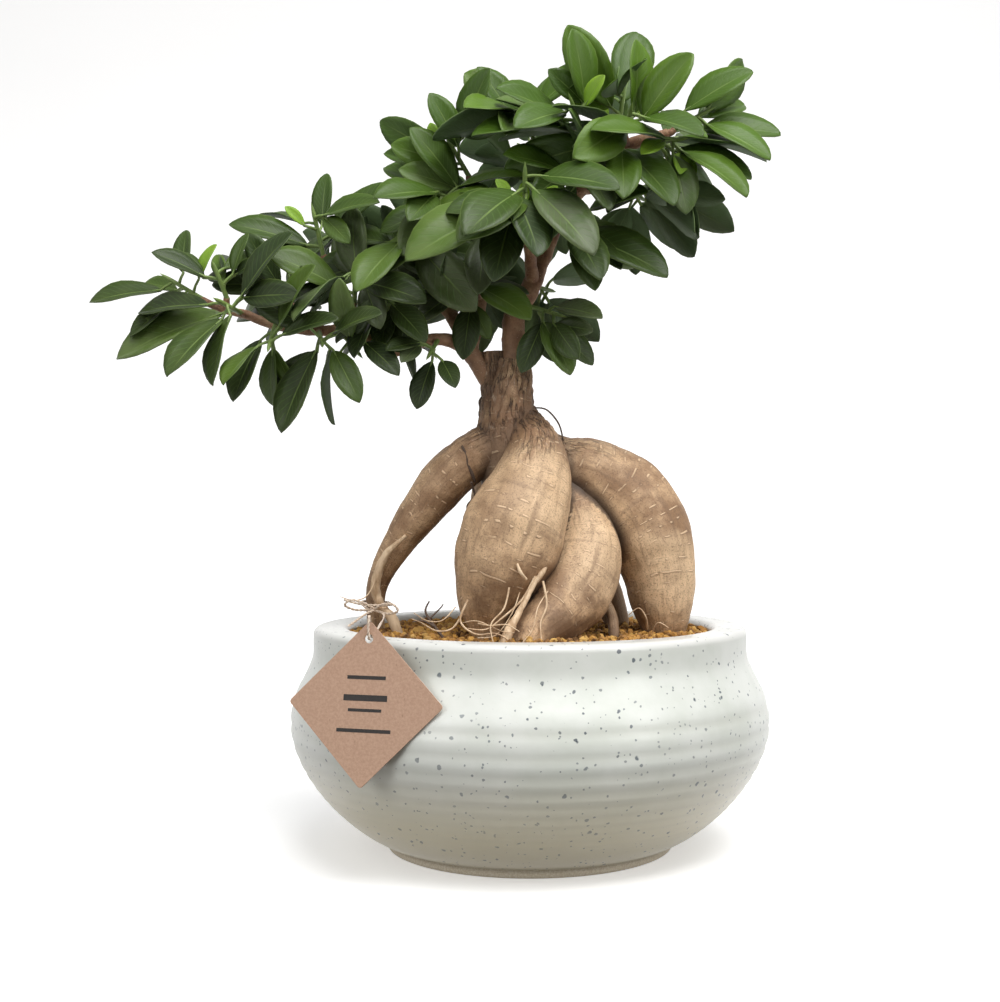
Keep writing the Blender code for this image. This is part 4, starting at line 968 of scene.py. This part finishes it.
ROOTLETS = [
    [(-24, -42, 17, 0.7), (-27, -44, 9, 0.55), (-21, -46, 4, 0.5), (-13, -48.5, 4.5, 0.4), (-7, -51, 1.5, 0.3)],
    [(-26, -41, 12, 0.6), (-30, -42.5, 6, 0.5), (-36, -43, 5, 0.4), (-42, -42, 8, 0.3), (-46, -41, 9.5, 0.2)],
    [(2, -38.5, 26, 0.8), (-3, -40.5, 17, 0.7), (-11, -45, 10, 0.5), (-17, -48, 6, 0.4), (-24, -49, 6.5, 0.3)],
    [(5, -38, 24, 0.7), (6.5, -41, 15, 0.6), (4, -43.5, 8, 0.5), (4.5, -46, 1, 0.4)],
    [(-5, -44, 31, 0.7), (-3.5, -45, 27.5, 1.0), (-1.5, -43, 25, 0.8)],
    [(6, -36, 30, 1.4), (4.5, -38, 27, 1.6), (2.5, -39, 24, 1.2)],
    [(-4, -44, 20, 0.3), (-7, -46.5, 12, 0.3), (-13, -49, 4, 0.25), (-20, -50.5, 3, 0.2)],
    [(7, -37, 20, 0.3), (3, -42, 14, 0.3), (1, -46, 6, 0.25), (-3, -49, 1, 0.2)],
    [(-26, -41, 8, 0.3), (-20, -46, 9, 0.3), (-11, -49, 5.5, 0.25), (-6, -51, 5, 0.2)],
    [(-29, -39, 14, 0.3), (-34, -42, 9, 0.3), (-40, -43, 9, 0.25), (-45, -43, 12, 0.2)],
    [(-8, -45.5, 22, 0.5), (-10, -47, 14, 0.5), (-15, -49, 8, 0.4), (-14, -51, 1, 0.3)],
    [(-20, -45, 8, 0.5), (-15, -48.5, 7.5, 0.4), (-9, -50.5, 8, 0.35), (-4, -52, 5.5, 0.25)],
    [(-62, -6.5, 27, 0.4), (-66.5, -8, 17, 0.4), (-72, -9, 14.5, 0.3), (-78, -8.5, 16, 0.2)],
    [(48, -12, 3, 0.5), (47, -17, 8, 0.45), (44, -18, 12, 0.3), (40, -16, 9, 0.25)],
    [(50, -13, 2, 0.5), (52, -17, 6, 0.4), (56, -18, 4, 0.3)],
]
settle(thin_lines("pale_rootlets", ROOTLETS, pale_finish.material, 7, 0.75), "pale_root")

# %% Dead roots and dark strands
DARK_STRANDS = [
    [(-28, -10.4, 78, 0.4), (-26, -11, 74, 0.8), (-25.4, -10.9, 70, 1.0), (-23.6, -10, 66, 0.7),
     (-22.6, -8.4, 63, 0.4)],
    [(-18.6, -2, 100, 0.3), (-20.6, -2, 97, 0.9), (-20.2, -2, 94, 1.1), (-20.9, -2, 91, 0.7), (-20, -2, 88, 0.3)],
    [(-34, -38, 2, 0.6), (-38, -37, 7, 0.6), (-41, -36, 12, 0.45), (-39.5, -36, 16, 0.3)],
    [(-37, -37.2, 6, 0.5), (-42, -38, 8.5, 0.4), (-46, -38, 8, 0.25)],
    [(-39, -36.5, 9.5, 0.4), (-35, -36, 13.5, 0.3), (-34, -36, 15, 0.2)],
    [(-24, -12, 63, 0.6), (-22.5, -9, 57.5, 0.5), (-20.5, -10, 52, 0.4), (-22, -10, 49, 0.3)],
    [(-22.5, -9, 57, 0.45), (-25.5, -10, 54, 0.35), (-26, -10, 51.5, 0.25)],
    [(2, -3, 94, 0.35), (7, -4, 93, 0.4), (12, -4, 87, 0.4), (14, -3, 79, 0.35)],
]
dark_finish = Finish("dead root", roughness=0.85)
char = dark_finish.noise(700, 4, 0.6)
dark_finish.feed(base_color=dark_finish.mix(char, (0.05, 0.033, 0.025), (0.15, 0.10, 0.07)),
                 normal=dark_finish.bump((char, 0.2 * MM, 0.7)))
settle(thin_lines("dead_roots", DARK_STRANDS, dark_finish.material, 6), "bark")

# %% [markdown]
# ## Leaves
# A fig leaf here is thick, glossy and oval with a short tip, folded a little along a yellow-green midrib, and
# grows on a short green shoot. Modelling each by hand would be slow and would drift from the CAD, so each leaf
# is read back from its shoot's solid: a blade ends in a point where exactly three faces meet, and four rings of
# three points lie behind it. Geometry Nodes then put one detailed blade on each.

# %% Read the leaves back
SAG = 0.16  # how far a blade's end droops, as a share of its length
LEAF_RINGS = 4
BUD_SIDES = 5
BUD_UNEVEN, BUD_LEADS = 0.3 * MM, 0.1 * MM


def read_leaf(tip):
    """The blade that ends at this point: (start, along, up, side, length, half width, root, its points)."""
    seen, ring, rings = {tip}, [e.other_vert(tip) for e in tip.link_edges], []
    for _ in range(LEAF_RINGS):
        if len(ring) != 3:
            return None
        rings.append(ring)
        seen.update(ring)
        ring = list({e.other_vert(v) for v in ring for e in v.link_edges} - seen)
    root = sum((v.co for v in ring), Vector()) / len(ring)
    start = sum((v.co for v in rings[3]), Vector()) / 3
    pairs = [(a, b) for i, a in enumerate(rings[1]) for b in rings[1][i + 1:]]
    left, right = max(pairs, key=lambda p: (p[0].co - p[1].co).length)
    keel = next(v for v in rings[1] if v not in (left, right))
    side = (right.co - left.co).normalized()
    chord = (tip.co - start).normalized()
    normal = side.cross(chord).normalized()
    if normal.dot(keel.co - (left.co + right.co) / 2) > 0:
        normal.negate()
    lean = math.atan(SAG)
    along = chord * math.cos(lean) + normal * math.sin(lean)
    up = normal * math.cos(lean) - chord * math.sin(lean)
    length = (tip.co - start).length / math.sqrt(1 + SAG * SAG)
    return start, along, up, along.cross(up), length, (right.co - left.co).length / 2, root, seen


def read_shoot(node):
    """(leaves, base, bud) of a shoot."""
    bm = merged_copy(node)
    leaves, used = [], set()
    for v in bm.verts:
        if len(v.link_faces) == 3:
            found = read_leaf(v)
            if found:
                leaves.append(found[:-1])
                used |= found[-1]
    stem = [v for v in bm.verts if v not in used]
    bud = next(v for v in stem if len(v.link_edges) == len(v.link_faces) == BUD_SIDES and is_bud(v, stem))
    far = sorted(stem, key=lambda v: (v.co - bud.co).length)[-BUD_SIDES:]
    base = sum((v.co for v in far), Vector()) / BUD_SIDES
    made = leaves, base, bud.co.copy()
    bm.free()
    return made


def is_bud(point, stem):
    """A bud's five neighbours lie in one ring at the same distance, further along than anything else."""
    around = [e.other_vert(point).co for e in point.link_edges]
    reach = [(a - point.co).length for a in around]
    centre = sum(around, Vector()) / len(around)
    ahead = (point.co - centre).normalized()
    even = max(reach) - min(reach) < BUD_UNEVEN
    return even and all((v.co - point.co).dot(ahead) < BUD_LEADS for v in stem)


shoots = {n: read_shoot(n) for n in sorted(frame["nodes"]) if n.startswith("shoot_")}
print("leaves", sum(len(s[0]) for s in shoots.values()))

# %% Lay the stems and their twigs
TWIG_LAP = 0.5 * MM  # how far a twig runs into its shoot
STEM_SPANS, STEM_SIDES = 9, 20
stem_lines = {side: [wood_line(points, STEM_SPANS) for points in routes] for side, routes in STEMS.items()}
twig_lines = {side: [] for side in STEMS}
for _, base, bud in shoots.values():
    place = base + (bud - base).normalized() * TWIG_LAP
    side = min(stem_lines, key=lambda name: (nearest_on(stem_lines[name], place)[0] - place).length)
    twig_lines[side].append(twig_line(stem_lines[side], place))
stem_bark = make_stem_bark()
for side, lines in stem_lines.items():
    stem = wood_piece(f"stem_{side}_bark", lines + twig_lines[side], STEM_SIDES, knobbly(260, 0.11), stem_bark)
    settle(stem, "bark", f"stem_{side}")

# %% One blade
BLADE_ROWS = (0, 0.05, 0.13, 0.25, 0.4, 0.55, 0.69, 0.81, 0.91, 0.975, 1)
BLADE_COLUMNS = (-1, -0.55, 0, 0.55, 1)
BLADE_THICK, BLADE_WAVE, BLADE_FOLD, RIB_DEPTH = 0.011, 0.012, 0.085, 0.006  # shares of the blade's length


def outline(t):
    """Half the blade's width along it, as a share of the widest."""
    return min(1, t ** 0.8 * max(1 - t, 0) ** 0.66 / 0.3664) if t < 1 else 0.02


def blade_mesh():
    """A blade 1 long and 1 wide on +Y, with its face up, its sides lifted along the midrib and its end drooping."""
    points, faces, uv = [], [], []
    n = len(BLADE_COLUMNS)
    for under in (0, 1):
        for t in BLADE_ROWS:
            for c in BLADE_COLUMNS:
                wave = BLADE_WAVE * math.sin(9 * t + 2 * c) * abs(c)
                fold = BLADE_FOLD * abs(c) ** 0.8 * outline(t)
                rib = -RIB_DEPTH * (c == 0) * (1 - t) * (2 if under else 1)
                height = fold + wave + rib - SAG * t * t - under * BLADE_THICK * (1.5 if c == 0 else 1)
                points.append((0.5 * c * max(outline(t), 0.05), t, height))
                uv.append((0.5 + 0.5 * c, t))
    rows, layer = len(BLADE_ROWS), n * len(BLADE_ROWS)
    for i in range(rows - 1):
        for k in range(n - 1):
            a = i * n + k
            faces.append((a, a + 1, a + n + 1, a + n))
            faces.append(tuple(layer + x for x in (a, a + n, a + n + 1, a + 1)))
    rim = [i * n for i in range(rows)] + [(rows - 1) * n + k for k in range(1, n)]
    rim += [i * n + n - 1 for i in reversed(range(rows - 1))] + [k for k in reversed(range(1, n - 1))]
    for a, b in zip(rim, rim[1:] + rim[:1]):
        faces.append((a, b, b + layer, a + layer))
    mesh = mesh_from("blade", points, faces)
    layer_uv = mesh.uv_layers.new(name="blade")
    for loop in mesh.loops:
        layer_uv.data[loop.index].uv = uv[loop.vertex_index]
    put_attribute(mesh, "under", [float(i >= layer) for i in range(len(points))])
    return faced_out(mesh)


blade = bpy.data.objects.new("blade", blade_mesh())
print("blade", len(blade.data.polygons), "faces")

# %% [markdown]
# The leaf's colour changes across the blade: a narrow pale midrib, faint side veins that slant towards the end,
# a slightly lighter edge, a greyer underside, and now and then a fresh yellow-green leaf. The blade's own UV map
# says where on the leaf a point is. Two numbers stored per leaf say how dark and how young it is, and one stored
# on the blade says which of its faces is the underside.

# %% The leaf's finish
def make_leaf_finish():
    leaf = Finish("glossy fig leaf", coat_roughness=0.25, coat_ior=1.4, specular_ior_level=0.26)
    uv = leaf.add("ShaderNodeUVMap", {"uv_map": "blade"})
    across, far = leaf.part(0, uv) * 2.0 - 1.0, leaf.part(1, uv)
    tone, young, under = (leaf.attribute(name) for name in ("tone", "young", "under"))
    aside = abs(across)
    patches = leaf.noise(120, 3, 0.5)
    # Painted light: leaves higher in the crown are a brighter yellow-green, as if lit from above.
    high = leaf.part(2).rise(SOIL_Z + 130 * MM, SOIL_Z + 225 * MM)
    # Painted reflection: a grey-green sheen on some leaves stands in for the sky they reflect.
    painted_sheen = tone.rise(0.70, 0.85) * patches.rise(0.25, 0.55)
    fresh = leaf.mix(patches, (0.17, 0.33, 0.022), (0.26, 0.42, 0.04))
    veins = ((far - aside * 0.32) * 62.0).sin().rise(0.72, 1.0) * aside.rise(0.03, 0.2) * aside.rise(1.0, 0.75)
    rib = aside.rise(0.06, 0.02) * far.rise(1.0, 0.5)
    colour = leaf.layered(
        leaf.mix(tone, (0.016, 0.028, 0.009), (0.038, 0.060, 0.011)),
        (patches.rise(0.35, 0.7) * 0.35, (0.052, 0.070, 0.021)),
        (high * (tone * 0.45 + 0.45), (0.070, 0.156, 0.005)),
        (painted_sheen * 0.55, (0.105, 0.125, 0.068)),
        (young, fresh),
        (veins * 0.22, (0.10, 0.19, 0.04)),
        (rib * 0.55, (0.19, 0.28, 0.07)),
        (aside.rise(0.93, 1.0) * 0.35, (0.20, 0.28, 0.07)),
        (under * 0.6, (0.10, 0.155, 0.075)))
    fine = leaf.noise(900, 3, 0.55)
    leaf.feed(base_color=colour, roughness=fine * 0.14 + under * 0.16 + 0.38, coat_weight=(1 - under) * 0.09,
              normal=leaf.bump((veins * -0.4 - rib * 0.8, 0.16 * MM, 0.7), (fine, 0.07 * MM, 0.5)))
    return leaf.material


leaf_finish = make_leaf_finish()
shoot_finish = Finish("green shoot", roughness=0.5)
streak = shoot_finish.noise(500, 3)
shoot_finish.feed(base_color=shoot_finish.mix(streak, (0.10, 0.19, 0.04), (0.26, 0.34, 0.09)),
                  normal=shoot_finish.bump((streak, 0.1 * MM, 0.5)))


# %% Dress every shoot
def foliage_shape():
    """Blades on loose points, and tubes on the lines of stems and stalks."""
    shape = Shape("foliage", blade=blade, stalk_sides=6, leaf_material=leaf_finish,
                  stem_material=shoot_finish.material)
    info = shape.add("GeometryNodeObjectInfo", {"transform_space": "ORIGINAL"}, {0: shape.input("blade")}, 4)
    is_leaf = shape.named("size").maths("GREATER_THAN", 0.0)
    turn = shape.add("FunctionNodeEulerToRotation", None, {0: shape.named("turn", "FLOAT_VECTOR")})
    size = shape.named("size")
    scale = shape.add("ShaderNodeCombineXYZ", None, {0: shape.named("wide"), 1: size, 2: size})
    leaves = shape.add("GeometryNodeInstanceOnPoints", None,
                       {0: shape.geometry, 1: is_leaf, 2: info, 5: turn, 6: scale})
    joined = shape.nodes.new("GeometryNodeJoinGeometry")
    for item in (shape.tubes(shape.input("stalk_sides")), leaves):
        shape.links.new(item.socket, joined.inputs[0])
    return shape.end(Value(shape, joined.outputs[0]), shape.input("stem_material"),
                     (is_leaf, shape.input("leaf_material")))


BUD_LENGTH = 5 * MM
# The young leaves of a shoot, by their rank from its shortest leaf to its longest.
YOUNG_LEAVES = {"shoot_left_end": (3,), "shoot_heart": (0, 1, 2), "shoot_crest_top": (0, 1),
                "shoot_left_small": (0,), "shoot_crest_mid": (0,), "shoot_left_crown": (0,)}


def shoot_lines(leaves, base, bud):
    """The stem and the stalks as lines with radii."""
    axis = (bud - base).normalized()
    neck = base + axis * ((bud - base).length - BUD_LENGTH)
    stem = [base - axis * 0.6 * MM, base + axis * 1.5 * MM, base.lerp(neck, 0.5), neck, neck.lerp(bud, 0.45), bud]
    lines = [(stem, [1.15 * MM, 1.05 * MM, 1.0 * MM, 0.95 * MM, 0.7 * MM, 0.08 * MM])]
    for start, along, up, _, length, _, root in leaves:
        middle = root.lerp(start, 0.5) + up * 0.3 * MM
        line = [root, middle, start, start + along * 0.12 * length - up * 0.15 * MM]
        lines.append((line, [0.75 * MM, 0.6 * MM, 0.6 * MM, 0.25 * MM]))
    return lines


FILLED = 0.75  # the share of leaves that have a smaller neighbour tucked in beside them
FILLED_LEFT = 0.5  # and on the thinner left branch
YOUNG_ON_CREST = 0.4  # the share of those neighbours that are young, on the crown's highest shoots
CREST_Z = SOIL_Z + 200 * MM
LEFT_BRANCH_X = BOWL_X - 72 * MM  # shoots further left grow on the thinner branch
YOUNG_SIZE = 0.62
GROWN_SIZE = (1.04, 1.16)
LEFT_SMALLER = 0.08
WIDTH, LEFT_WIDTH, WIDTH_VARIES = 0.96, 0.82, (0.94, 1.06)
MOST_AGE = 0.3  # the yellowest that a grown leaf gets, where 1 is a young leaf


def beside(leaf, luck):
    """A smaller leaf on the same node of the stem, swung to one side and tucked under the first."""
    start, along, up, _, length, half, root = leaf
    swing = Matrix.Rotation(luck.choice((-1, 1)) * math.radians(luck.uniform(28, 50)), 3, up)
    along = swing @ along
    side = along.cross(up)
    dip = Matrix.Rotation(-math.radians(luck.uniform(2, 16)), 3, side)
    share = luck.uniform(0.66, 0.86)
    return start - up * 1.2 * MM, dip @ along, dip @ up, side, length * share, half * share, root


foliage = foliage_shape()
luck = random.Random(41)  # a fixed seed, so that each run gives the same tree
for name, (leaves, base, bud) in shoots.items():
    ranked = sorted(leaves, key=lambda leaf: leaf[4])
    fresh = [ranked[rank][0] for rank in YOUNG_LEAVES.get(name, ()) if rank < len(ranked)]
    on_left = base.x < LEFT_BRANCH_X
    share = FILLED_LEFT if on_left else FILLED
    added = [beside(leaf, luck) for leaf in leaves if luck.random() < share and leaf[0] not in fresh]
    fresh += [leaf[0] for leaf in added if bud.z > CREST_Z and luck.random() < YOUNG_ON_CREST]
    leaves = leaves + added
    mesh = lines_mesh(name, shoot_lines(leaves, base, bud))
    first = len(mesh.vertices)
    mesh.vertices.add(len(leaves))
    sizes, wides, tones, ages = ([0.0] * first for _ in range(4))
    turns = [(0.0, 0.0, 0.0)] * first
    for i, leaf in enumerate(leaves):
        start, along, up, side, length, half, _ = leaf
        mesh.vertices[first + i].co = start
        grown_by = YOUNG_SIZE if start in fresh else luck.uniform(*GROWN_SIZE) - (LEFT_SMALLER if on_left else 0)
        sizes.append(length * grown_by)
        wides.append(2 * half * grown_by * luck.uniform(*WIDTH_VARIES) * (LEFT_WIDTH if on_left else WIDTH))
        turns.append(tuple(Matrix((side, along, up)).transposed().to_euler()))
        tones.append(luck.random())
        ages.append(1.0 if start in fresh else MOST_AGE * luck.random() ** 4)
    for key, values in (("size", sizes), ("wide", wides), ("tone", tones), ("young", ages)):
        put_attribute(mesh, key, values)
    for point in mesh.attributes["thick"].data[first:]:
        point.value = 0.0
    put_attribute(mesh, "turn", turns, "FLOAT_VECTOR")
    piece = foliage.make(name.replace("shoot_", "leaves_"), mesh)
    settle(piece, "leaf", name)

# %% [markdown]
# ## The tag
# The tag is a square of recycled card with a punched hole, hung by one corner. Its real print is somebody's
# mark, so it is left out and four plain bars stand in for it, as thin ink shapes a hair above the card.

# %% The card's finish
kraft = Finish("kraft card", roughness=0.9)
pulp = kraft.noise(1100, 5, 0.65)
flecks = kraft.cells(420, kraft.mapped((1, 1, 0.35))).rise(0.16, 0.05) * kraft.noise(300, 2).rise(0.5, 0.62)
card_colour = kraft.mix(pulp.rise(0.3, 0.7), (0.44, 0.275, 0.19), (0.53, 0.345, 0.245))
kraft.feed(base_color=kraft.mix(flecks * 0.6, card_colour, (0.30, 0.18, 0.11)),
           normal=kraft.bump((pulp, 0.12 * MM, 0.6)))
ink = Finish("black ink", roughness=0.8)
worn = ink.noise(1400, 3)
ink.feed(base_color=ink.mix(worn, (0.012, 0.011, 0.010), (0.035, 0.030, 0.027)))

# %% The card
TAG_THICK = 0.6 * MM
TAG_CORNER = 1.2 * MM
HOLE_RADIUS = 1.7 * MM


def on_card(x, y, lift=0.0):
    """A place on the card's front face, x to its right corner and y to its hole's corner."""
    return tag_centre + tag_side * -x + tag_up * y + tag_out * (TAG_THICK / 2 + lift)


bm = bmesh.new()
ring = []
reach = TAG_HALF - TAG_CORNER * math.sqrt(2)
for turn in (0, 90, 180, 270):
    x, y = reach * math.cos(math.radians(turn)), reach * math.sin(math.radians(turn))
    ring += arc(TAG_CORNER, x, y, turn - 45, turn + 45, 5)
hole = arc(HOLE_RADIUS, 0, TAG_HALF - TAG_HOLE_INSET, 0, 345, 24)
outer, inner = ([bm.verts.new(on_card(*p)) for p in loop] for loop in (ring, hole))
edges = [bm.edges.new((a, b)) for loop in (outer, inner) for a, b in zip(loop, loop[1:] + loop[:1])]
bmesh.ops.triangle_fill(bm, edges=edges, use_beauty=True)
bmesh.ops.recalc_face_normals(bm, faces=bm.faces)
if sum(f.normal.dot(tag_out) for f in bm.faces) < 0:
    bmesh.ops.reverse_faces(bm, faces=bm.faces)
wall = bmesh.ops.extrude_face_region(bm, geom=list(bm.faces))
back = [v for v in wall["geom"] if isinstance(v, bmesh.types.BMVert)]
bmesh.ops.translate(bm, verts=back, vec=tag_out * -TAG_THICK)
bmesh.ops.recalc_face_normals(bm, faces=bm.faces)
card_mesh = bpy.data.meshes.new("tag_card")
bm.to_mesh(card_mesh)
bm.free()
tag_card = plain_object("tag_card", card_mesh, kraft.material)
settle(tag_card, "card", "tag")


# %% The printed bars
# (half the bar's length, its height on the card, its width), in millimetres
BARS = ((7.5, 9.5, 1.3), (8.5, 2.2, 2.2), (6.5, -2.2, 1.1), (10.5, -9.5, 1.3))
INK_PROUD, INK_SUNK = 0.05 * MM, -0.02 * MM


def print_mesh():
    """Four plain bars across the card, as flat boxes that stand a hair above it."""
    points, faces = [], []
    for half, y, width in BARS:
        a = len(points)
        for lift in (INK_PROUD, INK_SUNK):
            for x, up in ((-half, 0.5), (half, 0.5), (half, -0.5), (-half, -0.5)):
                points.append(on_card(x * MM, (y + up * width) * MM, lift))
        faces += [(a, a + 1, a + 2, a + 3), (a + 4, a + 7, a + 6, a + 5)]
        faces += [(a + i, a + i + 4, a + (i + 1) % 4 + 4, a + (i + 1) % 4) for i in range(4)]
    return faced_out(mesh_from("tag_print", points, faces))


settle(plain_object("tag_print", print_mesh(), ink.material), "card")

# %% [markdown]
# ## Floor and light
# A pale sweep that curves up behind keeps the floor from ending in a line. A big soft light from above and
# in front and two tall panels at the sides give the glaze its window-like highlights.

# %% The floor
floor_line = [(y, 0.0) for y in (-2.0, -1.0, 0.0, 0.6)] + [
    (0.6 + 0.9 * math.sin(a), 0.9 - 0.9 * math.cos(a)) for a in steps(0.1, math.pi / 2, 12)] + [(1.5, 2.6)]
floor_points = [(x, y, z) for x in (-3.0, 3.0) for y, z in floor_line]
count = len(floor_line)
floor_faces = [(i, i + count, i + count + 1, i + 1) for i in range(count - 1)]
sweep = Finish("studio sweep", roughness=0.9, emission_color=(1, 1, 1, 1), emission_strength=0.36)
sweep.feed(base_color=sweep.mix(sweep.noise(3, 2), (0.90, 0.90, 0.90), (0.93, 0.93, 0.93)))
floor = plain_object("studio_floor", mesh_from("studio_floor", floor_points, floor_faces), sweep.material)
floor.data.shade_smooth()
floor.visible_diffuse = False  # a white floor would light the bowl from below


# %% The lights
def panel(name, place, aim, width, height, power):
    light = bpy.data.lights.new(name, "AREA")
    light.shape, light.size, light.size_y, light.energy = "RECTANGLE", width, height, power
    lamp = bpy.data.objects.new(name, light)
    bpy.context.scene.collection.objects.link(lamp)
    lamp.location = place
    lamp.rotation_euler = (Vector(aim) - Vector(place)).to_track_quat("-Z", "Y").to_euler()


TARGET = (0.0, 0.0, 0.16)
panel("top light", (0.35, -0.55, 1.4), TARGET, 1.1, 0.9, 23)
panel("left window", (-1.1, -1.1, 0.8), TARGET, 0.6, 0.9, 6)
panel("right window", (1.2, -0.9, 0.75), TARGET, 0.5, 0.8, 5.5)
world = bpy.data.worlds.new("white studio")
world.use_nodes = True
sky = Tree(world.node_tree)
height = sky.add("ShaderNodeSeparateXYZ", None, {0: sky.add("ShaderNodeTexCoord", out="Generated")}, 2)
backdrop = world.node_tree.nodes["Background"]
shades = {"stops": ((0.0, (0.27, 0.25, 0.22)), (1.0, (1, 1, 1)))}
sky.put(backdrop.inputs["Color"], sky.add("ShaderNodeValToRGB", shades, {0: height.rise(-0.25, 0.45)}))
backdrop.inputs["Strength"].default_value = 0.5
bpy.context.scene.world = world
bpy.context.scene.view_settings.view_transform = "Standard"

# %% The end
for helper in [*lumps.objects, blade]:
    bpy.data.objects.remove(helper)
